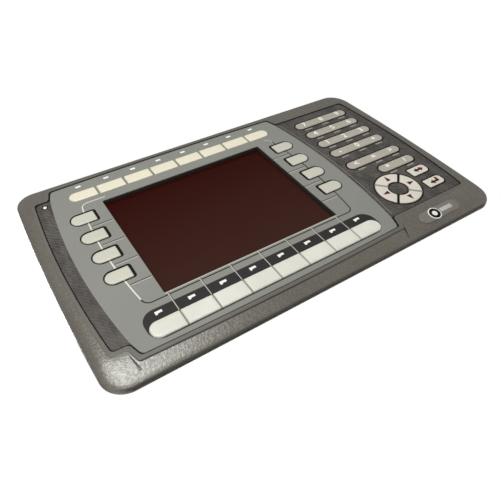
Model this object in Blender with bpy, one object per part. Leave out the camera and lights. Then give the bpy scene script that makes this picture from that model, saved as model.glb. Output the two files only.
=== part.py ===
"""Panel-mounted operator terminal with a recessed display, embossed keys and a shallow rear housing.

Units are metres, +Z is up and the keys face -Y. The plane Y = 0 is the rear face of the front flange,
which lies against the cabinet door. The origin is the middle of the flange's lower edge in that plane.
The heights below are measured from the film's middle: every object hangs on an empty placed there.
"""

import math

import bmesh
import bpy
from mathutils import Matrix, Vector

MM = 0.001
# Air between neighbours that don't move past each other.
GAP = 0.3 * MM
# How far a cutter starts outside what it cuts.
CLEAR = 1 * MM

# Front flange: the long sides are straight and the short sides bow outwards.
FLANGE_HALF_WIDTH = 138.8 * MM
FLANGE_HALF_HEIGHT = 83.9 * MM
FLANGE_BOW = 2.3 * MM
FLANGE_CORNER = 13.5 * MM
# How far the flange's middle lies below the film's.
FLANGE_DROP = 1.9 * MM
RIM_FRONT = -6.6 * MM
RIM_ROUNDING = 3.4 * MM
RIM_ROUNDING_DEPTH = 2.6 * MM
RIM_STEPS = 4

# Printed film, let into the flange.
FILM_FRONT = -6.0 * MM
FILM_BACK = -5.6 * MM
FILM_HALF_WIDTH = 129.8 * MM
FILM_SIDE_BOW = 3.5 * MM
FILM_WING_HALF_HEIGHT = 64.6 * MM
FILM_WING_FALL = 0.3 * MM
FILM_FIELD_HALF_HEIGHT = 74.4 * MM
FILM_FIELD_BOW = 1.2 * MM
FILM_CORNER = 2.5 * MM
FIELD_CENTRE_X = -28.2 * MM
FIELD_NOTCH = 89.0 * MM
FIELD_SHOULDER = 86.2 * MM
# Places along the field's long edge, as shares of its half width, that carry its bow.
FIELD_BOW_SHARES = (0.6, 0.3, 0, -0.3, -0.6)
FILM_SIDE_STEPS = 5

# Key caps: a body that stands proud of the film and a rim that the film holds back.
DECK_FRONT = FILM_BACK + GAP
DECK_BACK = -3.8 * MM
CAP_FRONT = -6.6 * MM
CAP_CHAMFER = 0.4 * MM
CAP_RIM_BACK = -4.6 * MM
CAP_RIM = 0.5 * MM
CAP_SLOT = 0.35 * MM
WELL_CLEARANCE = 0.4 * MM
SMALL_CORNER = 0.6 * MM
LEAST_CORNER = 0.2 * MM
# A full round end keeps this much of a straight side, so that no two of its points coincide.
ROUND_END_SPARE = 0.1 * MM

KEYS_IN_ROW = 8
KEY_PITCH = 19.5 * MM
TOP_KEY_Z = 59.45 * MM
TOP_KEY_HALF = (9.05 * MM, 4.45 * MM)
BOTTOM_KEY_Z = -64.0 * MM
BOTTOM_KEY_HALF = (9.45 * MM, 5.4 * MM)
BOTTOM_RIM = (0.1 * MM, 0.8 * MM)
BOTTOM_ROW_HALF = 77.5 * MM
BOTTOM_END_RADIUS = 5.3 * MM
SIDE_KEY_X = 76.2 * MM
SIDE_KEY_Z = [36.45 * MM, 17.85 * MM, -0.75 * MM, -19.35 * MM]
SIDE_KEY_HALF = (8.0 * MM, 4.95 * MM)
ROW_X = 96.65 * MM
ROW_Z = [52.2 * MM, 37.8 * MM, 23.4 * MM, 8.95 * MM, -8.9 * MM]
ROW_HALF = (24.2 * MM, 4.2 * MM)
SHORT_ROW_X = 105.1 * MM
SHORT_ROW_Z = -23.35 * MM
SHORT_ROW_HALF = (15.8 * MM, 4.2 * MM)
RING_X = 85.5 * MM
RING_Z = -45.2 * MM
RING_OUTER = 15.7 * MM
RING_INNER = 7.2 * MM
RING_SPLIT = 1.7 * MM
MARK_KEY_X = 112.5 * MM
MARK_KEY_Z = {"key_select": -37.5 * MM, "key_enter": -52.3 * MM}
MARK_KEY_HALF = (7.5 * MM, 4.0 * MM)
MARK_KEY_ROUND = 3 * MM
LED_X = -121.3 * MM
LED_Z = 59.6 * MM
LED_RADIUS = 1.25 * MM
LED_PROUD = 0.3 * MM

# Display, window and the boards in the flange's rear pocket.
DISPLAY_X = FIELD_CENTRE_X
DISPLAY_Z = 1.4 * MM
DISPLAY_HALF = (60.0 * MM, 45.2 * MM)
DISPLAY_CUT_SPARE = 0.2 * MM
WINDOW_HALF = (65.6 * MM, 49.6 * MM)
WINDOW_FRONT = DECK_BACK + GAP
WINDOW_BACK = -1.9 * MM
WINDOW_CORNER = 2 * MM
BOARD_OPENING_HALF = (67.0 * MM, 51.0 * MM)
BOARD_OPENING_CORNER = 2 * MM
POCKET_HALF = (128.0 * MM, 74.0 * MM)
POCKET_CORNER = 8 * MM
BOARD_FRONT = -3.5 * MM
BOARD_BACK = -2.3 * MM
PLATE_FRONT = -2.0 * MM
LCD_HALF = (64.5 * MM, 48.5 * MM)
LCD_FRONT = WINDOW_BACK + GAP
LCD_BACK = 5.6 * MM
LCD_CORNER = 1.5 * MM
LCD_ACTIVE_HALF = (57.6 * MM, 43.2 * MM)
LCD_ACTIVE_DEPTH = 0.5 * MM

# Gasket in a groove of the flange's rear face.
GROOVE_DEPTH = 0.9 * MM
GROOVE_INSET = 3.0 * MM
GROOVE_WIDTH = 4.0 * MM
GASKET_WIDTH = 3.2 * MM
GASKET_PROUD = 1.2 * MM

# Rear housing in two shells.
TRAY_HALF = (122.0 * MM, 68.5 * MM)
TRAY_CORNER = 6 * MM
TRAY_WALL = 1.6 * MM
TRAY_FRONT = GAP
TRAY_BACK = 18 * MM
COVER_X = (-108 * MM, 118 * MM)
COVER_Z = (-55 * MM, 64 * MM)
COVER_CORNER = 5 * MM
COVER_WALL = 1.8 * MM
COVER_FRONT = TRAY_BACK + GAP
COVER_BACK = 46 * MM
TRAY_WINDOW_LEDGE = 6 * MM
MAIN_BOARD_Y = (22.0 * MM, 23.6 * MM)
MAIN_BOARD_GAP = 1.2 * MM
VENT_COUNT = 9
VENT_PITCH = 7 * MM
VENT_HALF = (1.2 * MM, 16 * MM)
VENT_X = 60 * MM
VENT_Z = 30 * MM

# Sockets on the lower side of the rear cover.
SOCKET_Y = 29.5 * MM
POWER_X = -82 * MM
POWER_MOUTH_Z = COVER_Z[0] + 0.2 * MM
POWER_PITCH = 5.08 * MM
POWER_POLES = (-1, 0, 1)
HEADER_HALF = (9 * MM, 5 * MM)
HEADER_DEPTH = 12 * MM
HEADER_CAVITY_HALF = (7.9 * MM, 3.9 * MM)
HEADER_CAVITY_DEPTH = 9.5 * MM
HEADER_PIN_RADIUS = 0.55 * MM
HEADER_PIN_TIP = 2.5 * MM
PLUG_HALF = (7.5 * MM, 3.5 * MM)
PLUG_OUT = 8 * MM
PLUG_IN = 9 * MM
PLUG_SOCKET_RADIUS = 0.95 * MM
PLUG_SOCKET_END = 1.5 * MM
PLUG_WIRE_HALF = 1.6 * MM
PLUG_WIRE_DEPTH = 5 * MM
SERIAL_X = -38 * MM
SERIAL_PLATE_HALF = (15.4 * MM, 6.2 * MM)
SERIAL_PLATE = 0.9 * MM
SERIAL_SHELL_HALF = (8.3 * MM, 4.0 * MM)
SERIAL_SHELL_LENGTH = 6 * MM
SERIAL_SHELL_ROUND = 1.2 * MM
SERIAL_SHELL_LEAN = math.radians(10)
SERIAL_BODY_HALF = (9.6 * MM, 5.2 * MM)
SERIAL_BODY_DEPTH = 9 * MM
SERIAL_CONTACT_PITCH = 2.76 * MM
SERIAL_CONTACT_ROWS = ((-1.4 * MM, 5), (1.4 * MM, 4))
SERIAL_CONTACT_RADIUS = 0.6 * MM
JACK_SCREW_OFFSET = 12.5 * MM
JACK_SCREW_RADIUS = 2.4 * MM
JACK_SCREW_LENGTH = 5 * MM
NETWORK_X = 8 * MM
NETWORK_MOUTH_Z = COVER_Z[0] - 0.8 * MM
NETWORK_HALF = (8 * MM, 5.4 * MM)
NETWORK_DEPTH = 15 * MM
NETWORK_CAVITY_HALF_WIDTH = 5.9 * MM
NETWORK_CAVITY_Y = (SOCKET_Y - 2.6 * MM, SOCKET_Y + 4.2 * MM)
NETWORK_CAVITY_DEPTH = 12 * MM
NETWORK_CLIP_HALF_WIDTH = 2.4 * MM
NETWORK_CLIP_Y = (SOCKET_Y - 4.4 * MM, SOCKET_Y - 2.0 * MM)
NETWORK_CLIP_DEPTH = 10 * MM
# Opening in the cover for each socket: its X and its half size across X and Y.
SOCKET_OPENINGS = {
    "power_opening": (POWER_X, 9.3 * MM, 5.3 * MM),
    "serial_opening": (SERIAL_X, 10.3 * MM, 5.8 * MM),
    "network_opening": (NETWORK_X, 8.4 * MM, 5.8 * MM),
}

# Service door in the rear cover's back.
DOOR_X = -62 * MM
DOOR_Z = 30 * MM
DOOR_HALF = (18 * MM, 13 * MM)
DOOR_THICKNESS = 1.6 * MM
DOOR_LEDGE = 3 * MM
DOOR_HINGE_Y = 48.0 * MM
DOOR_LUG_HALF = 1.8 * MM
DOOR_LUG_WIDTH = 3.2 * MM
DOOR_HINGE_Z = DOOR_Z + DOOR_HALF[1] + DOOR_LUG_HALF
DOOR_BARREL_RADIUS = 1.6 * MM
DOOR_PIN_RADIUS = 0.8 * MM
DOOR_PIN_LENGTH = 2.2 * MM
DOOR_BORE_LENGTH = 2.6 * MM
PIN_CLEARANCE = 0.2 * MM

# Clamps that pull the flange on to the cabinet door, shown set for a 3 mm door.
CLAMP_X = 82 * MM
CLAMP_HALF_WIDTH = 6 * MM
CLAMP_Y = (6.0 * MM, 11.0 * MM)
CLAMP_REACH = 8.0 * MM
CLAMP_TONGUE_HALF = 5 * MM
CLAMP_TONGUE_Y = (CLAMP_Y[0] + 1.0 * MM, CLAMP_Y[0] + 3.0 * MM)
CLAMP_TONGUE_IN = 4 * MM
CLAMP_TONGUE_OUT = 2 * MM
CLAMP_SLOT_SPARE = (0.4 * MM, 0.3 * MM)
CLAMP_SCREW_RADIUS = 2.0 * MM
CLAMP_SCREW_OFFSET = 4.8 * MM
CLAMP_SCREW_Y = (3.3 * MM, 14.0 * MM)
SCREW_SLOT_DEPTH = 1.4 * MM
SCREW_SLOT_HALF_WIDTH = 0.35 * MM

PARTS = None
CUTTERS = None


def clear_scene():
    for item in list(bpy.data.objects):
        bpy.data.objects.remove(item, do_unlink=True)


def new_collection(name):
    collection = bpy.data.collections.new(name)
    bpy.context.scene.collection.children.link(collection)
    return collection


def make_material(name, colour, roughness, metallic=0.0):
    material = bpy.data.materials.new(name)
    material.use_nodes = True
    shader = material.node_tree.nodes["Principled BSDF"]
    shader.inputs["Base Color"].default_value = (*colour, 1.0)
    shader.inputs["Roughness"].default_value = roughness
    shader.inputs["Metallic"].default_value = metallic
    return material


# Outlines are lists of (x, z) points in the plane of the front, counter-clockwise seen from the front.


def arc(centre, radius, start, end, steps):
    """Points on a circle from angle start to angle end, in radians, both ends included."""
    points = []
    for step in range(steps + 1):
        angle = start + (end - start) * step / steps
        points.append((centre[0] + radius * math.cos(angle), centre[1] + radius * math.sin(angle)))
    return points


def circle(centre, radius, sides):
    return arc(centre, radius, 0, 2 * math.pi * (sides - 1) / sides, sides - 1)


def corner_steps(radius):
    return 1 if radius <= SMALL_CORNER * 1.01 else 5


def rounded_rect(centre, half, radii, grow=0.0):
    """Rectangle with the corner radii right-top, left-top, left-bottom, right-bottom, each grown."""
    signs = [(1, 1), (-1, 1), (-1, -1), (1, -1)]
    points = []
    for turn, ((sign_x, sign_z), radius) in enumerate(zip(signs, radii)):
        grown = max(radius + grow, LEAST_CORNER)
        corner = (
            centre[0] + sign_x * (half[0] - grown),
            centre[1] + sign_z * (half[1] - grown),
        )
        start = turn * math.pi / 2
        points += arc(corner, grown, start, start + math.pi / 2, corner_steps(radius))
    return points


def even_rect(centre, half, radius):
    return rounded_rect(centre, half, [radius] * 4)


def round_ended(centre, half):
    return even_rect(centre, half, half[1] - ROUND_END_SPARE)


def flange_outline(inset):
    """The flange's edge, moved inwards by inset."""
    half_height = FLANGE_HALF_HEIGHT - inset
    radius = FLANGE_CORNER - inset
    slope = 2 * FLANGE_BOW * (half_height - radius) / FLANGE_HALF_HEIGHT**2
    lean = math.atan(slope)
    side_z = half_height - radius + radius * math.sin(lean)
    side_x = FLANGE_HALF_WIDTH - inset - FLANGE_BOW * (side_z / FLANGE_HALF_HEIGHT) ** 2
    centre = (side_x - radius * math.cos(lean), half_height - radius)
    quarter = arc(centre, radius, lean, math.pi / 2, 6)
    side = []
    for step in range(-3, 4):
        z = side_z * step / 4
        side.append((FLANGE_HALF_WIDTH - inset - FLANGE_BOW * (z / FLANGE_HALF_HEIGHT) ** 2, z))
    right = [(x, -z) for x, z in reversed(quarter)] + side + quarter
    both = right + [(-x, -z) for x, z in right]
    return [(x, z - FLANGE_DROP) for x, z in both]


def fillet(before, corner, after, radius, steps):
    """Points that round one corner of a polygon with a short arc."""
    here = Vector(corner)
    to_before = (Vector(before) - here).normalized()
    to_after = (Vector(after) - here).normalized()
    half_angle = to_before.angle(to_after) / 2
    reach = radius / math.tan(half_angle)
    middle = here + (to_before + to_after).normalized() * radius / math.sin(half_angle)
    first = here + to_before * reach - middle
    last = here + to_after * reach - middle
    start = math.atan2(first.y, first.x)
    turn = math.remainder(math.atan2(last.y, last.x) - start, 2 * math.pi)
    return arc(middle, radius, start, start + turn, steps)


def film_half_outline(grow):
    """Upper half of the film's edge from the right wing to the left wing, as (point, corner radius)."""
    wing_top = FILM_WING_HALF_HEIGHT + grow
    field_top = FILM_FIELD_HALF_HEIGHT - FILM_FIELD_BOW + grow
    corners = []
    for step in range(FILM_SIDE_STEPS):
        z = FILM_WING_HALF_HEIGHT * step / FILM_SIDE_STEPS
        x = FILM_HALF_WIDTH + grow - FILM_SIDE_BOW * (z / FILM_WING_HALF_HEIGHT) ** 2
        corners.append(((x, z), 0))
    wing_end = wing_top - FILM_WING_FALL
    corners.append(((FILM_HALF_WIDTH - FILM_SIDE_BOW + grow, wing_end), FILM_CORNER))
    corners.append(((FIELD_CENTRE_X + FIELD_NOTCH + grow, wing_top), FILM_CORNER))
    corners.append(((FIELD_CENTRE_X + FIELD_SHOULDER + grow, field_top), FILM_CORNER))
    for share in FIELD_BOW_SHARES:
        bow = FILM_FIELD_BOW * (1 - share**2)
        corners.append(((FIELD_CENTRE_X + share * FIELD_SHOULDER, field_top + bow), 0))
    corners.append(((FIELD_CENTRE_X - FIELD_SHOULDER - grow, field_top), FILM_CORNER))
    corners.append(((FIELD_CENTRE_X - FIELD_NOTCH - grow, wing_top), FILM_CORNER))
    corners.append(((-FILM_HALF_WIDTH + FILM_SIDE_BOW - grow, wing_end), FILM_CORNER))
    for step in range(FILM_SIDE_STEPS - 1, 0, -1):
        z = FILM_WING_HALF_HEIGHT * step / FILM_SIDE_STEPS
        x = FILM_HALF_WIDTH + grow - FILM_SIDE_BOW * (z / FILM_WING_HALF_HEIGHT) ** 2
        corners.append(((-x, z), 0))
    return corners


def film_outline(grow):
    """The film's edge with its two wings and the taller middle field."""
    upper = film_half_outline(grow)
    left_middle = [((-FILM_HALF_WIDTH - grow, 0.0), 0)]
    lower = [((x, -z), radius) for (x, z), radius in reversed(upper[1:])]
    corners = upper + left_middle + lower
    points = []
    for index, (corner, radius) in enumerate(corners):
        if radius == 0:
            points.append(corner)
            continue
        before = corners[index - 1][0]
        after = corners[(index + 1) % len(corners)][0]
        points += fillet(before, corner, after, radius, 3)
    return points


def ring_quarter(direction, grow):
    """One quarter of the cursor ring, centred on the angle direction, grown on all sides."""
    outer = RING_OUTER + grow
    inner = RING_INNER - grow
    half_split = RING_SPLIT / 2 - grow
    outer_half = math.pi / 4 - math.asin(half_split / outer)
    inner_half = math.pi / 4 - math.asin(half_split / inner)
    centre = (RING_X, RING_Z)
    points = arc(centre, outer, direction - outer_half, direction + outer_half, 9)
    return points + arc(centre, inner, direction + inner_half, direction - inner_half, 6)


# Solids


def add_object(name, mesh, material, collection):
    item = bpy.data.objects.new(name, mesh)
    collection.objects.link(item)
    if material is not None:
        mesh.materials.append(material)
    return item


def as_cutter(item):
    item.hide_render = True
    item.display_type = "WIRE"
    return item


def welded_mesh(item):
    """The mesh of a curve object, with its loose caps welded to its sides."""
    bpy.context.view_layer.update()
    graph = bpy.context.evaluated_depsgraph_get()
    mesh = bpy.data.meshes.new_from_object(item.evaluated_get(graph))
    shape = bmesh.new()
    shape.from_mesh(mesh)
    bmesh.ops.remove_doubles(shape, verts=shape.verts, dist=0.001 * MM)
    bmesh.ops.dissolve_limit(
        shape, angle_limit=math.radians(0.05), verts=shape.verts, edges=shape.edges
    )
    bmesh.ops.recalc_face_normals(shape, faces=shape.faces)
    shape.to_mesh(mesh)
    shape.free()
    return mesh


def sheet(name, loops, front, back, material, collection=None):
    """A flat sheet between two planes across Y: the first loop is its edge and the others are holes."""
    curve = bpy.data.curves.new(name, "CURVE")
    curve.dimensions = "2D"
    curve.fill_mode = "BOTH"
    curve.extrude = (back - front) / 2
    for loop in loops:
        spline = curve.splines.new("POLY")
        spline.points.add(len(loop) - 1)
        spline.use_cyclic_u = True
        for point, (x, z) in zip(spline.points, loop):
            point.co = (x, z, 0, 1)
    target = collection or PARTS
    outline = bpy.data.objects.new(name + "_outline", curve)
    target.objects.link(outline)
    outline.location.y = (front + back) / 2
    outline.rotation_euler.x = math.pi / 2
    mesh = welded_mesh(outline)
    mesh.name = name
    mesh.materials.clear()
    item = add_object(name, mesh, material, target)
    item.matrix_world = outline.matrix_world.copy()
    bpy.data.objects.remove(outline)
    bpy.data.curves.remove(curve)
    return item


def stack(name, levels, material, collection=None):
    """A solid lofted through outlines of equal length, each at its own Y, from the back to the front."""
    mesh = bpy.data.meshes.new(name)
    shape = bmesh.new()
    rings = []
    for outline, y in levels:
        rings.append([shape.verts.new((x, y, z)) for x, z in outline])
    count = len(rings[0])
    for behind, ahead in zip(rings, rings[1:]):
        for index in range(count):
            following = (index + 1) % count
            shape.faces.new((behind[index], behind[following], ahead[following], ahead[index]))
    shape.faces.new(rings[0])
    shape.faces.new(rings[-1])
    bmesh.ops.recalc_face_normals(shape, faces=shape.faces)
    shape.to_mesh(mesh)
    shape.free()
    return add_object(name, mesh, material, collection or PARTS)


def block(name, low, high, material=None, collection=None):
    """A box between two corners."""
    mesh = bpy.data.meshes.new(name)
    shape = bmesh.new()
    bmesh.ops.create_cube(shape, size=1)
    size = Vector(high) - Vector(low)
    bmesh.ops.scale(shape, vec=size, verts=shape.verts)
    shape.to_mesh(mesh)
    shape.free()
    item = add_object(name, mesh, material, collection or PARTS)
    item.location = (Vector(high) + Vector(low)) / 2
    return item


def upright_block(name, centre, half, z_ends, material=None, collection=None):
    """A box with its centre and half sizes across X and Y, between two heights given in either order."""
    low = (centre[0] - half[0], centre[1] - half[1], min(z_ends))
    high = (centre[0] + half[0], centre[1] + half[1], max(z_ends))
    return block(name, low, high, material, collection)


def rod(name, start, end, radius, material=None, collection=None, sides=16):
    """A round rod between two points."""
    start = Vector(start)
    end = Vector(end)
    mesh = bpy.data.meshes.new(name)
    shape = bmesh.new()
    bmesh.ops.create_cone(
        shape,
        cap_ends=True,
        segments=sides,
        radius1=radius,
        radius2=radius,
        depth=(end - start).length,
    )
    shape.to_mesh(mesh)
    shape.free()
    item = add_object(name, mesh, material, collection or PARTS)
    item.location = (start + end) / 2
    item.rotation_euler = (end - start).to_track_quat("Z", "Y").to_euler()
    return item


def boolean(item, other, operation):
    modifier = item.modifiers.new(operation.lower() + "_" + other.name, "BOOLEAN")
    modifier.operation = operation
    modifier.solver = "EXACT"
    modifier.object = as_cutter(other)


def cut(item, *cutters):
    for cutter in cutters:
        boolean(item, cutter, "DIFFERENCE")


def join(item, *others):
    for other in others:
        boolean(item, other, "UNION")


def set_origin(item, point):
    """Moves an object's origin and leaves its mesh where it is."""
    bpy.context.view_layer.update()
    shift = item.matrix_world.inverted() @ Vector(point)
    item.data.transform(Matrix.Translation(-shift))
    item.location = Vector(point)


# Keys


def rect_key(centre, half, radii, rim=(CAP_RIM, CAP_RIM)):
    """Outline function of a key with straight sides: it takes how far the outline grows."""

    def grown(extra):
        grow_x, grow_z = extra
        size = (half[0] + grow_x, half[1] + grow_z)
        return rounded_rect(centre, size, radii, min(grow_x, grow_z))

    return {"centre": centre, "outline": grown, "rim": rim}


def end_radii(radius, left, right):
    """Corner radii of a key that is round at its left end, at its right end, at both or at neither."""
    left_radius = radius if left else SMALL_CORNER
    right_radius = radius if right else SMALL_CORNER
    return [right_radius, left_radius, left_radius, right_radius]


def all_keys():
    """Every key's outline by its name."""
    keys = {}
    top_round = TOP_KEY_HALF[1] - ROUND_END_SPARE
    for number in range(1, KEYS_IN_ROW + 1):
        x = FIELD_CENTRE_X + KEY_PITCH * (number - (KEYS_IN_ROW + 1) / 2)
        first = number == 1
        last = number == KEYS_IN_ROW
        top_radii = end_radii(top_round, first, last)
        bottom_radii = end_radii(BOTTOM_END_RADIUS, first, last)
        keys[f"key_top_{number}"] = rect_key((x, TOP_KEY_Z), TOP_KEY_HALF, top_radii)
        keys[f"key_bottom_{number}"] = rect_key(
            (x, BOTTOM_KEY_Z), BOTTOM_KEY_HALF, bottom_radii, BOTTOM_RIM
        )
    side_round = SIDE_KEY_HALF[1] - ROUND_END_SPARE
    for number, z in enumerate(SIDE_KEY_Z, 1):
        left = (FIELD_CENTRE_X - SIDE_KEY_X, z)
        right = (FIELD_CENTRE_X + SIDE_KEY_X, z)
        left_radii = end_radii(side_round, True, False)
        right_radii = end_radii(side_round, False, True)
        keys[f"key_left_{number}"] = rect_key(left, SIDE_KEY_HALF, left_radii)
        keys[f"key_right_{number}"] = rect_key(right, SIDE_KEY_HALF, right_radii)
    row_radii = end_radii(ROW_HALF[1] - ROUND_END_SPARE, True, True)
    for number, z in enumerate(ROW_Z, 1):
        keys[f"key_row_{number}"] = rect_key((ROW_X, z), ROW_HALF, row_radii)
    keys["key_row_6"] = rect_key((SHORT_ROW_X, SHORT_ROW_Z), SHORT_ROW_HALF, row_radii)
    for name, z in MARK_KEY_Z.items():
        radii = end_radii(MARK_KEY_ROUND, False, True)
        keys[name] = rect_key((MARK_KEY_X, z), MARK_KEY_HALF, radii)
    for turn, side in enumerate(("right", "up", "left", "down")):
        direction = turn * math.pi / 2
        middle = (RING_OUTER + RING_INNER) / 2
        centre = (
            RING_X + middle * math.cos(direction),
            RING_Z + middle * math.sin(direction),
        )
        keys[f"cursor_{side}"] = {
            "centre": centre,
            "outline": lambda extra, direction=direction: ring_quarter(direction, extra[0]),
            "rim": (CAP_RIM, CAP_RIM),
        }
    return keys


def make_key(name, key, material):
    """A cap with a chamfered front face and a wider rim behind the film."""
    outline = key["outline"]
    rim = outline(key["rim"])
    body = outline((0, 0))
    face = outline((-CAP_CHAMFER, -CAP_CHAMFER))
    levels = [
        (rim, CAP_RIM_BACK),
        (rim, DECK_FRONT),
        (body, DECK_FRONT),
        (body, CAP_FRONT + CAP_CHAMFER),
        (face, CAP_FRONT),
    ]
    cap = stack(name, levels, material)
    set_origin(cap, (key["centre"][0], CAP_RIM_BACK, key["centre"][1]))
    return cap


def bottom_row_slot(grow):
    half = (BOTTOM_ROW_HALF + grow, BOTTOM_KEY_HALF[1] + grow)
    centre = (FIELD_CENTRE_X, BOTTOM_KEY_Z)
    return even_rect(centre, half, BOTTOM_END_RADIUS + grow)


# Front


def key_wells():
    """Openings of the flange's deck, one for each group of key rims."""
    reach = CAP_RIM + WELL_CLEARANCE
    wells = []
    row_half = KEY_PITCH * (KEYS_IN_ROW - 1) / 2
    top_half = (row_half + TOP_KEY_HALF[0] + reach, TOP_KEY_HALF[1] + reach)
    wells.append(round_ended((FIELD_CENTRE_X, TOP_KEY_Z), top_half))
    bottom_half = (BOTTOM_ROW_HALF + reach, BOTTOM_KEY_HALF[1] + BOTTOM_RIM[1] + WELL_CLEARANCE)
    wells.append(even_rect((FIELD_CENTRE_X, BOTTOM_KEY_Z), bottom_half, BOTTOM_END_RADIUS))
    column_z = (SIDE_KEY_Z[0] + SIDE_KEY_Z[-1]) / 2
    column_half = (
        SIDE_KEY_HALF[0] + reach,
        (SIDE_KEY_Z[0] - SIDE_KEY_Z[-1]) / 2 + SIDE_KEY_HALF[1] + reach,
    )
    for side in (-1, 1):
        centre = (FIELD_CENTRE_X + side * SIDE_KEY_X, column_z)
        wells.append(even_rect(centre, column_half, SMALL_CORNER))
    for z in ROW_Z:
        half = (ROW_HALF[0] + reach, ROW_HALF[1] + reach)
        wells.append(round_ended((ROW_X, z), half))
    short_half = (SHORT_ROW_HALF[0] + reach, SHORT_ROW_HALF[1] + reach)
    wells.append(round_ended((SHORT_ROW_X, SHORT_ROW_Z), short_half))
    for z in MARK_KEY_Z.values():
        half = (MARK_KEY_HALF[0] + reach, MARK_KEY_HALF[1] + reach)
        wells.append(even_rect((MARK_KEY_X, z), half, SMALL_CORNER))
    wells.append(circle((RING_X, RING_Z), RING_OUTER + reach, 32))
    return wells


def display_opening(grow):
    half = (DISPLAY_HALF[0] + grow, DISPLAY_HALF[1] + grow)
    return even_rect((DISPLAY_X, DISPLAY_Z), half, SMALL_CORNER)


def board_opening():
    return even_rect((DISPLAY_X, DISPLAY_Z), BOARD_OPENING_HALF, BOARD_OPENING_CORNER)


def make_bezel(material):
    """Flange with a rounded front edge, a recess for the film, a deck with key wells and a rear pocket."""
    levels = [(flange_outline(0), 0.0)]
    for step in range(RIM_STEPS + 1):
        angle = math.pi / 2 * step / RIM_STEPS
        inset = RIM_ROUNDING * (1 - math.cos(angle))
        y = RIM_FRONT + RIM_ROUNDING_DEPTH * (1 - math.sin(angle))
        levels.append((flange_outline(inset), y))
    bezel = stack("front_bezel", levels, material)
    front_clear = RIM_FRONT - CLEAR
    recess = sheet("recess", [film_outline(GAP)], front_clear, DECK_FRONT, None, CUTTERS)
    pocket_outline = even_rect((0, 0), POCKET_HALF, POCKET_CORNER)
    pocket = sheet("rear_pocket", [pocket_outline], DECK_BACK, CLEAR, None, CUTTERS)
    display_loops = [display_opening(DISPLAY_CUT_SPARE)]
    display = sheet("display_cut", display_loops, front_clear, CLEAR, None, CUTTERS)
    cut(bezel, recess, pocket, display)
    for index, well in enumerate(key_wells()):
        cut(bezel, sheet(f"well_{index + 1}", [well], front_clear, 0.0, None, CUTTERS))
    groove_loops = [flange_outline(GROOVE_INSET), flange_outline(GROOVE_INSET + GROOVE_WIDTH)]
    cut(bezel, sheet("groove", groove_loops, -GROOVE_DEPTH, CLEAR, None, CUTTERS))
    led = (LED_X, front_clear, LED_Z)
    led_back = (LED_X, 0, LED_Z)
    cut(bezel, rod("led_bore", led, led_back, LED_RADIUS + GAP, None, CUTTERS))
    return bezel


def make_overlay(material, keys):
    """The printed film, with an opening for the display, for the lamp and for each key cap."""
    loops = [film_outline(0), display_opening(0), bottom_row_slot(CAP_SLOT)]
    for name, key in keys.items():
        if name.startswith("key_bottom"):
            continue
        loops.append(key["outline"]((CAP_SLOT, CAP_SLOT)))
    loops.append(circle((LED_X, LED_Z), LED_RADIUS + GAP, 12))
    return sheet("keypad_overlay", loops, FILM_FRONT, FILM_BACK, material)


def make_status_led(material):
    """Small lens that reaches from the deck's rear through the film."""
    front = (LED_X, FILM_FRONT - LED_PROUD, LED_Z)
    back = (LED_X, DECK_BACK, LED_Z)
    return rod("status_led", front, back, LED_RADIUS, material, sides=12)


def make_window(material):
    outline = even_rect((DISPLAY_X, DISPLAY_Z), WINDOW_HALF, WINDOW_CORNER)
    return sheet("display_window", [outline], WINDOW_FRONT, WINDOW_BACK, material)


def make_lcd(material):
    """Display module with the active area let into its front."""
    centre = (DISPLAY_X, DISPLAY_Z)
    outline = even_rect(centre, LCD_HALF, LCD_CORNER)
    lcd = sheet("lcd_panel", [outline], LCD_FRONT, LCD_BACK, material)
    active = even_rect(centre, LCD_ACTIVE_HALF, SMALL_CORNER)
    active_back = LCD_FRONT + LCD_ACTIVE_DEPTH
    cut(lcd, sheet("active_area", [active], LCD_FRONT - CLEAR, active_back, None, CUTTERS))
    return lcd


def pocket_sheet_outline():
    half = (POCKET_HALF[0] - 2 * GAP, POCKET_HALF[1] - 2 * GAP)
    return even_rect((0, 0), half, POCKET_CORNER - 2 * GAP)


def make_keypad_board(material):
    loops = [pocket_sheet_outline(), board_opening()]
    return sheet("keypad_board", loops, BOARD_FRONT, BOARD_BACK, material)


def make_support_plate(material):
    """Steel plate flush with the flange's rear face, open round the display module."""
    loops = [pocket_sheet_outline(), board_opening()]
    return sheet("support_plate", loops, PLATE_FRONT, 0.0, material)


def make_gasket(material):
    side = (GROOVE_WIDTH - GASKET_WIDTH) / 2
    inset = GROOVE_INSET + side
    loops = [flange_outline(inset), flange_outline(inset + GASKET_WIDTH)]
    return sheet("panel_gasket", loops, -GROOVE_DEPTH + GAP, GASKET_PROUD, material)


# Housing


def clamp_places():
    """Number of a clamp, its X, and +1 on the upper side or -1 on the lower side."""
    places = []
    for number, (side_x, side_z) in enumerate(((-1, 1), (1, 1), (-1, -1), (1, -1)), 1):
        places.append((number, side_x * CLAMP_X, side_z))
    return places


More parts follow.
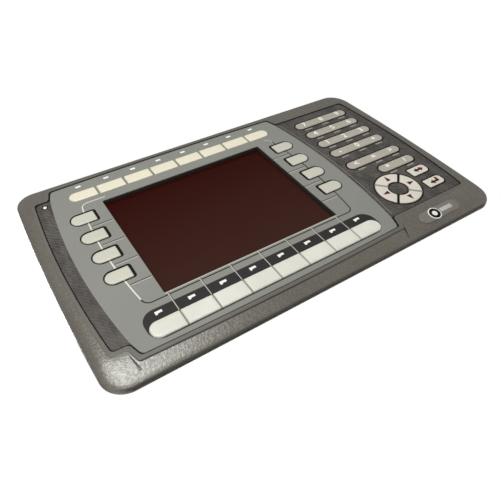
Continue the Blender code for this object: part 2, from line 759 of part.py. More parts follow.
def make_tray(material):
    """Shallow shell open to the front, with slots for the clamps and a large opening to the rear cover."""
    outer = even_rect((0, 0), TRAY_HALF, TRAY_CORNER)
    tray = sheet("rear_tray", [outer], TRAY_FRONT, TRAY_BACK, material)
    inner_half = (TRAY_HALF[0] - TRAY_WALL, TRAY_HALF[1] - TRAY_WALL)
    inner = even_rect((0, 0), inner_half, TRAY_CORNER - TRAY_WALL)
    hollow_back = TRAY_BACK - TRAY_WALL
    cut(tray, sheet("tray_hollow", [inner], -CLEAR, hollow_back, None, CUTTERS))
    ledge = TRAY_WINDOW_LEDGE
    low = (COVER_X[0] + ledge, hollow_back - CLEAR, COVER_Z[0] + ledge)
    high = (COVER_X[1] - ledge, TRAY_BACK + CLEAR, COVER_Z[1] - ledge)
    cut(tray, block("tray_window", low, high, None, CUTTERS))
    slot_y = (CLAMP_TONGUE_Y[0] + CLAMP_TONGUE_Y[1]) / 2
    slot_half = (
        CLAMP_TONGUE_HALF + CLAMP_SLOT_SPARE[0],
        (CLAMP_TONGUE_Y[1] - CLAMP_TONGUE_Y[0]) / 2 + CLAMP_SLOT_SPARE[1],
    )
    for number, x, side in clamp_places():
        ends = (side * (TRAY_HALF[1] - TRAY_WALL - CLEAR), side * (TRAY_HALF[1] + CLEAR))
        slot = upright_block(f"clamp_slot_{number}", (x, slot_y), slot_half, ends, None, CUTTERS)
        cut(tray, slot)
    return tray


def cover_outline(inset):
    centre = ((COVER_X[0] + COVER_X[1]) / 2, (COVER_Z[0] + COVER_Z[1]) / 2)
    half = ((COVER_X[1] - COVER_X[0]) / 2 - inset, (COVER_Z[1] - COVER_Z[0]) / 2 - inset)
    return even_rect(centre, half, COVER_CORNER - inset)


def cut_vents(cover):
    wall_y = (COVER_BACK - COVER_WALL - CLEAR, COVER_BACK + CLEAR)
    for index in range(VENT_COUNT):
        x = VENT_X + VENT_PITCH * (index - (VENT_COUNT - 1) / 2)
        low = (x - VENT_HALF[0], wall_y[0], VENT_Z - VENT_HALF[1])
        high = (x + VENT_HALF[0], wall_y[1], VENT_Z + VENT_HALF[1])
        cut(cover, block(f"vent_{index + 1}", low, high, None, CUTTERS))


def add_door_frame(cover):
    """Service opening with a bored lug on either side of the door's barrel."""
    half = (DOOR_HALF[0] - DOOR_LEDGE, DOOR_HALF[1] - DOOR_LEDGE)
    low = (DOOR_X - half[0], COVER_BACK - COVER_WALL - CLEAR, DOOR_Z - half[1])
    high = (DOOR_X + half[0], COVER_BACK + CLEAR, DOOR_Z + half[1])
    cut(cover, block("service_opening", low, high, None, CUTTERS))
    lug_y = (COVER_BACK - CLEAR, DOOR_HINGE_Y + DOOR_LUG_HALF)
    lug_centre = DOOR_HALF[0] + GAP + DOOR_LUG_WIDTH / 2
    for label, side in (("left", -1), ("right", 1)):
        x = DOOR_X + side * lug_centre
        low = (x - DOOR_LUG_WIDTH / 2, lug_y[0], DOOR_HINGE_Z - DOOR_LUG_HALF)
        high = (x + DOOR_LUG_WIDTH / 2, lug_y[1], DOOR_HINGE_Z + DOOR_LUG_HALF)
        join(cover, block(f"hinge_lug_{label}", low, high, None, CUTTERS))
    start, end = hinge_ends(DOOR_BORE_LENGTH)
    bore = DOOR_PIN_RADIUS + PIN_CLEARANCE
    cut(cover, rod("hinge_bore", start, end, bore, None, CUTTERS, 12))


def hinge_ends(extra):
    """Two points on the door's hinge axis, each so far beyond the door's side."""
    reach = DOOR_HALF[0] + extra
    start = (DOOR_X - reach, DOOR_HINGE_Y, DOOR_HINGE_Z)
    end = (DOOR_X + reach, DOOR_HINGE_Y, DOOR_HINGE_Z)
    return start, end


def make_cover(material):
    """Deep shell open to the front, with vents, sockets in its lower side and a service opening."""
    cover = sheet("rear_cover", [cover_outline(0)], COVER_FRONT, COVER_BACK, material)
    hollow_back = COVER_BACK - COVER_WALL
    hollow_loops = [cover_outline(COVER_WALL)]
    hollow = sheet("cover_hollow", hollow_loops, COVER_FRONT - CLEAR, hollow_back, None, CUTTERS)
    cut(cover, hollow)
    cut_vents(cover)
    add_door_frame(cover)
    ends = (COVER_Z[0] - CLEAR, COVER_Z[0] + COVER_WALL + CLEAR)
    for name, (x, half_x, half_y) in SOCKET_OPENINGS.items():
        cut(cover, upright_block(name, (x, SOCKET_Y), (half_x, half_y), ends, None, CUTTERS))
    return cover


def make_main_board(material):
    outline = cover_outline(COVER_WALL + MAIN_BOARD_GAP)
    return sheet("main_board", [outline], *MAIN_BOARD_Y, material)


def make_power_header(material):
    """Three-pole pin header in the lower side of the cover, open downwards."""
    centre = (POWER_X, SOCKET_Y)
    mouth = POWER_MOUTH_Z
    ends = (mouth, mouth + HEADER_DEPTH)
    header = upright_block("power_header", centre, HEADER_HALF, ends, material)
    ends = (mouth - CLEAR, mouth + HEADER_CAVITY_DEPTH)
    cut(header, upright_block("header_cavity", centre, HEADER_CAVITY_HALF, ends, None, CUTTERS))
    for pole in POWER_POLES:
        x = POWER_X + pole * POWER_PITCH
        root = (x, SOCKET_Y, mouth + HEADER_CAVITY_DEPTH + CLEAR)
        tip = (x, SOCKET_Y, mouth + HEADER_PIN_TIP)
        name = f"header_pin_{pole + 2}"
        join(header, rod(name, root, tip, HEADER_PIN_RADIUS, None, CUTTERS, 8))
    return header


def make_power_plug(material):
    """Pluggable terminal block with pin sockets above and wire openings below."""
    mouth = POWER_MOUTH_Z
    ends = (mouth - PLUG_OUT, mouth + PLUG_IN)
    plug = upright_block("power_plug", (POWER_X, SOCKET_Y), PLUG_HALF, ends, material)
    for pole in POWER_POLES:
        x = POWER_X + pole * POWER_PITCH
        top = (x, SOCKET_Y, mouth + PLUG_IN + CLEAR)
        end = (x, SOCKET_Y, mouth + PLUG_SOCKET_END)
        name = f"plug_socket_{pole + 2}"
        cut(plug, rod(name, top, end, PLUG_SOCKET_RADIUS, None, CUTTERS, 8))
        half = (PLUG_WIRE_HALF, PLUG_WIRE_HALF)
        ends = (mouth - PLUG_OUT - CLEAR, mouth - PLUG_OUT + PLUG_WIRE_DEPTH)
        name = f"wire_opening_{pole + 2}"
        cut(plug, upright_block(name, (x, SOCKET_Y), half, ends, None, CUTTERS))
    set_origin(plug, (POWER_X, SOCKET_Y, mouth))
    return plug


def serial_outline():
    """The D shape of a serial connector in the plane across Z."""
    half_x, half_y = SERIAL_SHELL_HALF
    lean = half_y * math.tan(SERIAL_SHELL_LEAN)
    return [
        (SERIAL_X - half_x + lean, SOCKET_Y + half_y),
        (SERIAL_X - half_x - lean, SOCKET_Y - half_y),
        (SERIAL_X + half_x + lean, SOCKET_Y - half_y),
        (SERIAL_X + half_x - lean, SOCKET_Y + half_y),
    ]


def prism(name, outline, low_z, high_z, rounding, collection):
    """An upright prism with the outline given as (x, y) points, its edges along Z rounded."""
    mesh = bpy.data.meshes.new(name)
    shape = bmesh.new()
    face = shape.faces.new([shape.verts.new((x, y, low_z)) for x, y in outline])
    grown = bmesh.ops.extrude_face_region(shape, geom=[face])
    moved = [item for item in grown["geom"] if isinstance(item, bmesh.types.BMVert)]
    bmesh.ops.translate(shape, vec=(0, 0, high_z - low_z), verts=moved)
    upright = [edge for edge in shape.edges if edge.verts[0].co.z != edge.verts[1].co.z]
    bmesh.ops.bevel(
        shape, geom=upright, offset=rounding, segments=3, profile=0.5, affect="EDGES"
    )
    bmesh.ops.recalc_face_normals(shape, faces=shape.faces)
    shape.to_mesh(mesh)
    shape.free()
    return add_object(name, mesh, None, collection)


def make_serial_port(material):
    """Nine-pole connector: flange plate, D-shaped shell with an insert, body behind and two jack screws."""
    centre = (SERIAL_X, SOCKET_Y)
    wall = COVER_Z[0] - GAP
    plate_middle = wall - SERIAL_PLATE / 2
    ends = (wall - SERIAL_PLATE, wall)
    port = upright_block("serial_port", centre, SERIAL_PLATE_HALF, ends, material)
    shell_end = wall - SERIAL_SHELL_LENGTH
    shell = prism(
        "serial_shell", serial_outline(), shell_end, plate_middle, SERIAL_SHELL_ROUND, CUTTERS
    )
    join(port, shell)
    ends = (plate_middle, wall + SERIAL_BODY_DEPTH)
    join(port, upright_block("serial_body", centre, SERIAL_BODY_HALF, ends, None, CUTTERS))
    for label, side in (("left", -1), ("right", 1)):
        x = SERIAL_X + side * JACK_SCREW_OFFSET
        start = (x, SOCKET_Y, plate_middle)
        end = (x, SOCKET_Y, wall - JACK_SCREW_LENGTH)
        join(port, rod(f"jack_screw_{label}", start, end, JACK_SCREW_RADIUS, None, CUTTERS, 6))
    for row, count in SERIAL_CONTACT_ROWS:
        for index in range(count):
            x = SERIAL_X + SERIAL_CONTACT_PITCH * (index - (count - 1) / 2)
            start = (x, SOCKET_Y + row, shell_end - CLEAR)
            end = (x, SOCKET_Y + row, wall - CLEAR)
            name = f"contact_{count}_{index + 1}"
            cut(port, rod(name, start, end, SERIAL_CONTACT_RADIUS, None, CUTTERS, 6))
    return port


def make_network_port(material):
    """Eight-contact socket with a stepped mouth for the plug's clip."""
    mouth = NETWORK_MOUTH_Z
    ends = (mouth, mouth + NETWORK_DEPTH)
    port = upright_block("network_port", (NETWORK_X, SOCKET_Y), NETWORK_HALF, ends, material)
    half_width = NETWORK_CAVITY_HALF_WIDTH
    low = (NETWORK_X - half_width, NETWORK_CAVITY_Y[0], mouth - CLEAR)
    high = (NETWORK_X + half_width, NETWORK_CAVITY_Y[1], mouth + NETWORK_CAVITY_DEPTH)
    cut(port, block("network_cavity", low, high, None, CUTTERS))
    half_width = NETWORK_CLIP_HALF_WIDTH
    low = (NETWORK_X - half_width, NETWORK_CLIP_Y[0], mouth - CLEAR)
    high = (NETWORK_X + half_width, NETWORK_CLIP_Y[1], mouth + NETWORK_CLIP_DEPTH)
    cut(port, block("network_clip_space", low, high, None, CUTTERS))
    return port


def make_service_door(material):
    """Door plate with a hinge barrel along its upper edge and a stub pin at each end."""
    front = COVER_BACK + GAP
    low = (DOOR_X - DOOR_HALF[0], front, DOOR_Z - DOOR_HALF[1])
    high = (DOOR_X + DOOR_HALF[0], front + DOOR_THICKNESS, DOOR_HINGE_Z)
    door = block("service_door", low, high, material)
    start, end = hinge_ends(0)
    join(door, rod("door_barrel", start, end, DOOR_BARREL_RADIUS, None, CUTTERS, 16))
    start, end = hinge_ends(DOOR_PIN_LENGTH)
    join(door, rod("door_pins", start, end, DOOR_PIN_RADIUS, None, CUTTERS, 12))
    set_origin(door, (DOOR_X, DOOR_HINGE_Y, DOOR_HINGE_Z))
    return door


def make_clamp(number, x, side, material):
    """Hook whose tongue sits in the tray's slot and whose block carries the clamp screw."""
    middle_y = (CLAMP_Y[0] + CLAMP_Y[1]) / 2
    half = (CLAMP_HALF_WIDTH, (CLAMP_Y[1] - CLAMP_Y[0]) / 2)
    ends = (side * (TRAY_HALF[1] + GAP), side * (TRAY_HALF[1] + CLAMP_REACH))
    clamp = upright_block(f"clamp_{number}", (x, middle_y), half, ends, material)
    tongue_y = (CLAMP_TONGUE_Y[0] + CLAMP_TONGUE_Y[1]) / 2
    half = (CLAMP_TONGUE_HALF, (CLAMP_TONGUE_Y[1] - CLAMP_TONGUE_Y[0]) / 2)
    ends = (side * (TRAY_HALF[1] - CLAMP_TONGUE_IN), side * (TRAY_HALF[1] + CLAMP_TONGUE_OUT))
    tongue = upright_block(f"clamp_tongue_{number}", (x, tongue_y), half, ends, None, CUTTERS)
    join(clamp, tongue)
    z = side * (TRAY_HALF[1] + CLAMP_SCREW_OFFSET)
    start = (x, CLAMP_Y[0] - CLEAR, z)
    end = (x, CLAMP_Y[1] + CLEAR, z)
    bore = CLAMP_SCREW_RADIUS + PIN_CLEARANCE
    cut(clamp, rod(f"clamp_bore_{number}", start, end, bore, None, CUTTERS, 16))
    return clamp


def make_clamp_screw(number, x, side, material):
    """Slotted set screw that presses on the cabinet door from behind."""
    z = side * (TRAY_HALF[1] + CLAMP_SCREW_OFFSET)
    start = (x, CLAMP_SCREW_Y[0], z)
    end = (x, CLAMP_SCREW_Y[1], z)
    screw = rod(f"clamp_screw_{number}", start, end, CLAMP_SCREW_RADIUS, material, sides=16)
    reach = CLAMP_SCREW_RADIUS + CLEAR
    low = (x - reach, CLAMP_SCREW_Y[1] - SCREW_SLOT_DEPTH, z - SCREW_SLOT_HALF_WIDTH)
    high = (x + reach, CLAMP_SCREW_Y[1] + CLEAR, z + SCREW_SLOT_HALF_WIDTH)
    cut(screw, block(f"screw_slot_{number}", low, high, None, CUTTERS))
    return screw


def key_material(name, materials):
    if name.startswith("key_top"):
        return materials["cream_key"]
    if name.startswith("key_bottom"):
        return materials["white_key"]
    if name.startswith("key_row"):
        return materials["grey_key"]
    if name.startswith(("key_left", "key_right")):
        return materials["side_key"]
    return materials["ring_key"]


def make_materials():
    return {
        "bezel": make_material("bezel", (0.12, 0.105, 0.09), 0.55),
        "film": make_material("film", (0.27, 0.27, 0.245), 0.5),
        "cream_key": make_material("cream_key", (0.88, 0.83, 0.66), 0.45),
        "white_key": make_material("white_key", (0.82, 0.8, 0.73), 0.45),
        "side_key": make_material("side_key", (0.6, 0.6, 0.53), 0.45),
        "grey_key": make_material("grey_key", (0.47, 0.43, 0.37), 0.5),
        "ring_key": make_material("ring_key", (0.76, 0.72, 0.66), 0.45),
        "lamp": make_material("lamp", (0.85, 0.83, 0.78), 0.2),
        "window": make_material("window", (0.035, 0.008, 0.006), 0.08),
        "lcd": make_material("lcd", (0.05, 0.05, 0.055), 0.3),
        "circuit_board": make_material("circuit_board", (0.03, 0.16, 0.07), 0.5),
        "steel": make_material("steel", (0.55, 0.56, 0.57), 0.38, 1.0),
        "rubber": make_material("rubber", (0.02, 0.02, 0.02), 0.8),
        "housing": make_material("housing", (0.05, 0.05, 0.052), 0.6),
        "socket": make_material("socket", (0.02, 0.02, 0.022), 0.5),
        "terminal": make_material("terminal", (0.03, 0.22, 0.09), 0.5),
    }


def hang_on_film_middle():
    """Lifts everything, so that the flange's lower edge comes to Z = 0."""
    middle = bpy.data.objects.new("film_middle", None)
    middle.location.z = FLANGE_HALF_HEIGHT + FLANGE_DROP
    bpy.context.scene.collection.objects.link(middle)
    for item in [*PARTS.objects, *CUTTERS.objects]:
        item.parent = middle


def build():
    global PARTS, CUTTERS
    clear_scene()
    PARTS = new_collection("operator_panel")
    CUTTERS = new_collection("cutters")
    materials = make_materials()
    keys = all_keys()
    make_bezel(materials["bezel"])
    make_overlay(materials["film"], keys)
    make_status_led(materials["lamp"])
    make_window(materials["window"])
    make_lcd(materials["lcd"])
    make_keypad_board(materials["circuit_board"])
    make_support_plate(materials["steel"])
    make_gasket(materials["rubber"])
    for name, key in keys.items():
        make_key(name, key, key_material(name, materials))
    make_tray(materials["steel"])
    make_cover(materials["housing"])
    make_main_board(materials["circuit_board"])
    make_power_header(materials["socket"])
    make_power_plug(materials["terminal"])
    make_serial_port(materials["steel"])
    make_network_port(materials["steel"])
    make_service_door(materials["housing"])
    for number, x, side in clamp_places():
        make_clamp(number, x, side, materials["steel"])
        make_clamp_screw(number, x, side, materials["steel"])
    for item in PARTS.objects:
        item.data.shade_smooth()
        item.data.set_sharp_from_angle(angle=math.radians(30))
    hang_on_film_middle()


build()
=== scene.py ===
import math

import bmesh
import bpy
from mathutils import Matrix, Vector
from mathutils.bvhtree import BVHTree


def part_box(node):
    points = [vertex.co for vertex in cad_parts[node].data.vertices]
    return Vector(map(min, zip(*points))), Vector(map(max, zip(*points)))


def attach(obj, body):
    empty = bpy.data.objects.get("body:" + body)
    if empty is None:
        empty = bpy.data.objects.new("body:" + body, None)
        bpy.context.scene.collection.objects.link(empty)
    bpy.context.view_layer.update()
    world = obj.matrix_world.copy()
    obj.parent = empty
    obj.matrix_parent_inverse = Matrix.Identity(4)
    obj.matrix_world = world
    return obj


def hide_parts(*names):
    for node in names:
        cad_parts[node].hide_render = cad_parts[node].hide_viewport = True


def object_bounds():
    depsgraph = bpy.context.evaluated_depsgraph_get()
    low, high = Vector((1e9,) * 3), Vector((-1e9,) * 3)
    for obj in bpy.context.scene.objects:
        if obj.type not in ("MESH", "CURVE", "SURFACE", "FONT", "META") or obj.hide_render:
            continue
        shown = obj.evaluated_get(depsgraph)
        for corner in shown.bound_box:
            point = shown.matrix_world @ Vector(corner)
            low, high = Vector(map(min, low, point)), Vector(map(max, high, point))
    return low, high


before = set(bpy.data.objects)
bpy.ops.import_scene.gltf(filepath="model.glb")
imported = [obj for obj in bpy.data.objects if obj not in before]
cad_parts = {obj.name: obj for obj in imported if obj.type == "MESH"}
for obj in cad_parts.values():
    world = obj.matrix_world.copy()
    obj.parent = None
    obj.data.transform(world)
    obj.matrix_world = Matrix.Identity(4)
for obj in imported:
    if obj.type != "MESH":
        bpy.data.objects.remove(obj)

# The operator panel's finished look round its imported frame. Lengths are in millimetres and are turned to
# metres where a mesh is made. Heights are measured from the film's middle. The front faces -Y, and outlines
# are lists of (x, z) points. Shaders, lights and the camera are in metres.

CAD_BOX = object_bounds()
MM = 0.001
FULL_TURN = 2 * math.pi
QUARTER_TURN = math.pi / 2
UPRIGHT = Matrix.Rotation(QUARTER_TURN, 4, "X")
FILM_MIDDLE = Vector((0, 0, sum(corner.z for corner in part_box("keypad_overlay")) / 2))


def node_box(node):
    low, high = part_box(node)
    return (low - FILM_MIDDLE) / MM, (high - FILM_MIDDLE) / MM


def middle(node):
    low, high = node_box(node)
    return (low + high) / 2


# Flange
BEZEL_LOW, BEZEL_HIGH = node_box("front_bezel")
HALF_WIDTH = BEZEL_HIGH.x
HALF_HEIGHT = (BEZEL_HIGH.z - BEZEL_LOW.z) / 2
FLANGE_Z = (BEZEL_HIGH.z + BEZEL_LOW.z) / 2
RIM_FRONT = BEZEL_LOW.y
FLANGE_BOW = 2.3
FLANGE_CORNER = 13.5

# Film: a middle field with a lower wing on either side
FILM_LOW, FILM_HIGH = node_box("keypad_overlay")
FILM_FRONT = FILM_LOW.y
FILM_BACK = FILM_HIGH.y
FILM_HALF_WIDTH = FILM_HIGH.x
FILM_SIDE_BOW = 3.5
FILM_CORNER = 2.5
FILM_GAP = 0.3
WING_HALF_HEIGHT = 64.6
WING_FALL = 0.3
FIELD_X = middle("display_window").x
FIELD_HALF_HEIGHT = FILM_HIGH.z
FIELD_BOW = 1.2
FIELD_NOTCH = 89.0
FIELD_SHOULDER = 86.2
FIELD_WAIST = 93.6
FIELD_TAPER = 6.8
FIELD_TAPER_AT = 73.5

# Display
WINDOW_LOW, WINDOW_HIGH = node_box("display_window")
DISPLAY_Z = middle("display_window").z
DISPLAY_HALF = (60.0, 45.2)

# Key caps: how far each family's edge stays inside its CAD cap, in x and z
CAP_RIM = 0.5
SIDE_RIM = (0.95, 0.85)
CAP_RIMS = {"key_row": (0.5, 0.95), "key_left": SIDE_RIM, "key_right": SIDE_RIM, "key_bottom": (0.1, 0.8)}
BOTTOM_REACH = 0.2
BOTTOM_PITCH = middle("key_bottom_2").x - middle("key_bottom_1").x
SLOT = 0.2
SMALL_CORNER = 0.6
LEAST_CORNER = 0.2
MARK_KEYS = ("key_select", "key_enter")
MARK_CORNER = 3.0


# Outlines


def arc(centre, radius, start, end, steps):
    points = []
    for step in range(steps + 1):
        angle = start + (end - start) * step / steps
        points.append((centre[0] + radius * math.cos(angle), centre[1] + radius * math.sin(angle)))
    return points


def circle(centre, radius, steps=40):
    return arc(centre, radius, 0, FULL_TURN * (steps - 1) / steps, steps - 1)


def rounded_rect(centre, half, radii, grow=0.0):
    """Rectangle with the corner radii right-top, left-top, left-bottom, right-bottom, each grown."""
    points = []
    for turn, ((sign_x, sign_z), radius) in enumerate(zip([(1, 1), (-1, 1), (-1, -1), (1, -1)], radii)):
        grown = max(radius + grow, LEAST_CORNER)
        x = centre[0] + sign_x * (half[0] + grow - grown)
        z = centre[1] + sign_z * (half[1] + grow - grown)
        start = turn * QUARTER_TURN
        points += arc((x, z), grown, start, start + QUARTER_TURN, 4 if radius <= SMALL_CORNER else 12)
    return points


def even_rect(centre, half, radius, grow=0.0):
    return rounded_rect(centre, half, [radius] * 4, grow)


def ribbon(points, width):
    """A stroke of even width along a line of points."""
    left = []
    right = []
    for index, point in enumerate(points):
        before = Vector(points[max(index - 1, 0)])
        after = Vector(points[min(index + 1, len(points) - 1)])
        along = (after - before).normalized()
        side = Vector((-along.y, along.x)) * width / 2
        left.append(tuple(Vector(point) + side))
        right.append(tuple(Vector(point) - side))
    return right + left[::-1]


def dash(x, z, reach, width):
    """A level stroke that reaches equally far either way."""
    return ribbon([(x - reach, z), (x + reach, z)], width)


def flange_outline(inset_x, inset_z, radius):
    """The flange's edge: straight long sides, short sides that bow outwards, and round corners."""
    half_height = HALF_HEIGHT - inset_z
    lean = math.atan(2 * FLANGE_BOW * (half_height - radius) / HALF_HEIGHT**2)
    side_z = half_height - radius + radius * math.sin(lean)
    side_x = HALF_WIDTH - inset_x - FLANGE_BOW * (side_z / HALF_HEIGHT) ** 2
    quarter = arc((side_x - radius * math.cos(lean), half_height - radius), radius, lean, QUARTER_TURN, 16)
    heights = [side_z * step / 12 for step in range(-11, 12)]
    side = [(HALF_WIDTH - inset_x - FLANGE_BOW * (z / HALF_HEIGHT) ** 2, z) for z in heights]
    right = [(x, -z) for x, z in reversed(quarter)] + side + quarter
    both = right + [(-x, -z) for x, z in right]
    return [(x, z + FLANGE_Z) for x, z in both]


def fillet(before, corner, after, radius):
    """The arc that rounds a corner between its two neighbours."""
    here = Vector(corner)
    to_before = (Vector(before) - here).normalized()
    to_after = (Vector(after) - here).normalized()
    half_angle = to_before.angle(to_after) / 2
    reach = radius / math.tan(half_angle)
    centre = here + (to_before + to_after).normalized() * radius / math.sin(half_angle)
    first = here + to_before * reach - centre
    last = here + to_after * reach - centre
    start = math.atan2(first.y, first.x)
    turn = math.remainder(math.atan2(last.y, last.x) - start, FULL_TURN)
    return arc(centre, radius, start, start + turn, 8)


def film_outline(grow):
    """The film's edge with its two wings and the taller middle field."""
    wing_top = WING_HALF_HEIGHT + grow
    field_top = FIELD_HALF_HEIGHT - FIELD_BOW + grow
    side = FILM_HALF_WIDTH + grow
    shares = [step / 12 for step in range(1, 12)]
    wing = [((side - FILM_SIDE_BOW * share**2, WING_HALF_HEIGHT * share), 0) for share in shares]
    wing.append(((FILM_HALF_WIDTH - FILM_SIDE_BOW + grow, wing_top - WING_FALL), FILM_CORNER))
    shares = [step / 14 for step in range(9, -10, -1)]
    bow = [(share, field_top + FIELD_BOW * (1 - share**2)) for share in shares]
    crown = [((FIELD_X + share * FIELD_SHOULDER, z), 0) for share, z in bow]
    notch = FIELD_NOTCH + grow
    shoulder = FIELD_SHOULDER + grow
    upper = [((side, 0.0), 0)] + wing
    upper += [((FIELD_X + notch, wing_top), FILM_CORNER), ((FIELD_X + shoulder, field_top), FILM_CORNER)]
    upper += crown
    upper += [((FIELD_X - shoulder, field_top), FILM_CORNER), ((FIELD_X - notch, wing_top), FILM_CORNER)]
    upper += [((-x, z), radius) for (x, z), radius in reversed(wing)]
    lower = [((x, -z), radius) for (x, z), radius in reversed(upper[1:])]
    corners = upper + [((-side, 0.0), 0)] + lower
    points = []
    for index, (corner, radius) in enumerate(corners):
        if radius:
            following = corners[(index + 1) % len(corners)][0]
            points += fillet(corners[index - 1][0], corner, following, radius)
        else:
            points.append(corner)
    return points


def field_half_width(z):
    """How far the light field reaches either way from its middle at a height."""
    waist = FIELD_WAIST - FIELD_TAPER * (z / FIELD_TAPER_AT) ** 2
    if abs(z) < WING_HALF_HEIGHT:
        return waist
    climb = (abs(z) - WING_HALF_HEIGHT) / (FIELD_HALF_HEIGHT - FIELD_BOW - WING_HALF_HEIGHT)
    return min(waist, FIELD_NOTCH + (FIELD_SHOULDER - FIELD_NOTCH) * climb) - 0.25


def field_outline():
    """The light printed field: its ends bow outwards, and its long sides follow the film's edge."""
    top = FIELD_HALF_HEIGHT - FIELD_BOW - FILM_CORNER
    heights = [top * step / 24 for step in range(-24, 25)]
    right = [(FIELD_X + field_half_width(z), z) for z in heights]
    corner = (FIELD_X + FIELD_SHOULDER - 0.3 - FILM_CORNER, top - 0.1)
    shoulder = arc(corner, FILM_CORNER, 0.2, QUARTER_TURN, 6)
    top_side = list(shoulder)
    for step in range(9, -10, -1):
        share = step / 10
        top_side.append((FIELD_X + share * FIELD_SHOULDER, FIELD_HALF_HEIGHT - FIELD_BOW * share**2 - 0.15))
    top_side += [(2 * FIELD_X - x, z) for x, z in reversed(shoulder)]
    left = [(2 * FIELD_X - x, z) for x, z in reversed(right)]
    return right + top_side + left + [(x, -z) for x, z in reversed(top_side)]


def display_outline(grow):
    return even_rect((FIELD_X, DISPLAY_Z), DISPLAY_HALF, SMALL_CORNER, grow)


# Meshes


def linked(name, data):
    item = bpy.data.objects.new(name, data)
    bpy.context.scene.collection.objects.link(item)
    return item


def closed_mesh(shape):
    bmesh.ops.recalc_face_normals(shape, faces=shape.faces)
    mesh = bpy.data.meshes.new("shape")
    shape.to_mesh(mesh)
    shape.free()
    return mesh


def skinned(rows):
    """A closed mesh over rows of points, in metres, with both ends filled."""
    shape = bmesh.new()
    rings = [[shape.verts.new(point) for point in row] for row in rows]
    for behind, ahead in zip(rings, rings[1:]):
        for index in range(len(behind)):
            following = (index + 1) % len(behind)
            shape.faces.new((behind[index], behind[following], ahead[following], ahead[index]))
    shape.faces.new(rings[0])
    shape.faces.new(rings[-1])
    return closed_mesh(shape)


def loft(rings):
    """A closed mesh through outlines of equal length, each with its Y, from the back to the front."""
    return skinned([[(x * MM, y * MM, z * MM) for x, z in outline] for outline, y in rings])


def turned(profile, start, direction, steps=32):
    """A turned solid: the profile is (distance along the axis, radius) from one end to the other."""
    axis = Vector(direction).normalized()
    side = axis.orthogonal().normalized()
    other = axis.cross(side)
    rows = []
    for along, radius in profile:
        rows.append([])
        for step in range(steps):
            angle = FULL_TURN * step / steps
            spoke = side * math.cos(angle) + other * math.sin(angle)
            rows[-1].append((Vector(start) + axis * along + spoke * radius) * MM)
    return skinned(rows)


def box_mesh(low, high, bevel=0.0):
    """A box between two corners with its edges rounded."""
    shape = bmesh.new()
    bmesh.ops.create_cube(shape, size=1)
    bmesh.ops.scale(shape, vec=(Vector(high) - Vector(low)) * MM, verts=shape.verts)
    bmesh.ops.translate(shape, vec=(Vector(high) + Vector(low)) / 2 * MM, verts=shape.verts)
    if bevel:
        edges = list(shape.edges)
        bmesh.ops.bevel(shape, geom=edges, offset=bevel * MM, segments=3, profile=0.5, affect="EDGES")
    return closed_mesh(shape)


def evaluated_mesh(item):
    bpy.context.view_layer.update()
    graph = bpy.context.evaluated_depsgraph_get()
    return bpy.data.meshes.new_from_object(item.evaluated_get(graph))


def curve_mesh(curve, x, y, z):
    """The mesh of a flat curve or text, stood up to face the front round a place."""
    item = linked("curve", curve)
    mesh = evaluated_mesh(item)
    bpy.data.objects.remove(item)
    bpy.data.curves.remove(curve)
    mesh.transform(Matrix.Translation((x * MM, y * MM, z * MM)) @ UPRIGHT)
    return mesh


def sheet(loops, front, back, simplify=False):
    """A flat sheet across Y: outer edges and holes are both loops, as in a filled 2D curve."""
    curve = bpy.data.curves.new("sheet", "CURVE")
    curve.dimensions = "2D"
    curve.fill_mode = "BOTH"
    curve.extrude = (back - front) / 2 * MM
    for loop in loops:
        spline = curve.splines.new("POLY")
        spline.points.add(len(loop) - 1)
        spline.use_cyclic_u = True
        for point, (x, z) in zip(spline.points, loop):
            point.co = (x * MM, z * MM, 0, 1)
    shape = bmesh.new()
    shape.from_mesh(curve_mesh(curve, 0, (front + back) / 2, 0))
    bmesh.ops.remove_doubles(shape, verts=shape.verts, dist=0.001 * MM)
    if simplify:
        bmesh.ops.dissolve_limit(shape, angle_limit=math.radians(0.05), verts=shape.verts, edges=shape.edges)
    return closed_mesh(shape)


def cut(mesh, cutters):
    """The mesh with the other meshes cut out of it one after another."""
    item = linked("work", mesh)
    tools = []
    for cutter in cutters:
        tools.append(linked("tool", cutter))
        modifier = item.modifiers.new("cut", "BOOLEAN")
        modifier.operation = "DIFFERENCE"
        modifier.solver = "EXACT"
        modifier.object = tools[-1]
    made = evaluated_mesh(item)
    for each in [item] + tools:
        bpy.data.objects.remove(each)
    return made


def merged(meshes):
    """Several closed meshes as one, without joining their surfaces."""
    shape = bmesh.new()
    for mesh in meshes:
        shape.from_mesh(mesh)
    return closed_mesh(shape)


def add_piece(name, mesh, material, body="panel", replaced=None, sharp=32):
    mesh.name = name
    mesh.transform(Matrix.Translation(FILM_MIDDLE))
    mesh.materials.clear()
    mesh.materials.append(MATERIALS[material])
    mesh.shade_smooth()
    mesh.set_sharp_from_angle(angle=math.radians(sharp))
    item = linked(name, mesh)
    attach(item, body)
    if replaced:
        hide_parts(replaced)


# Materials


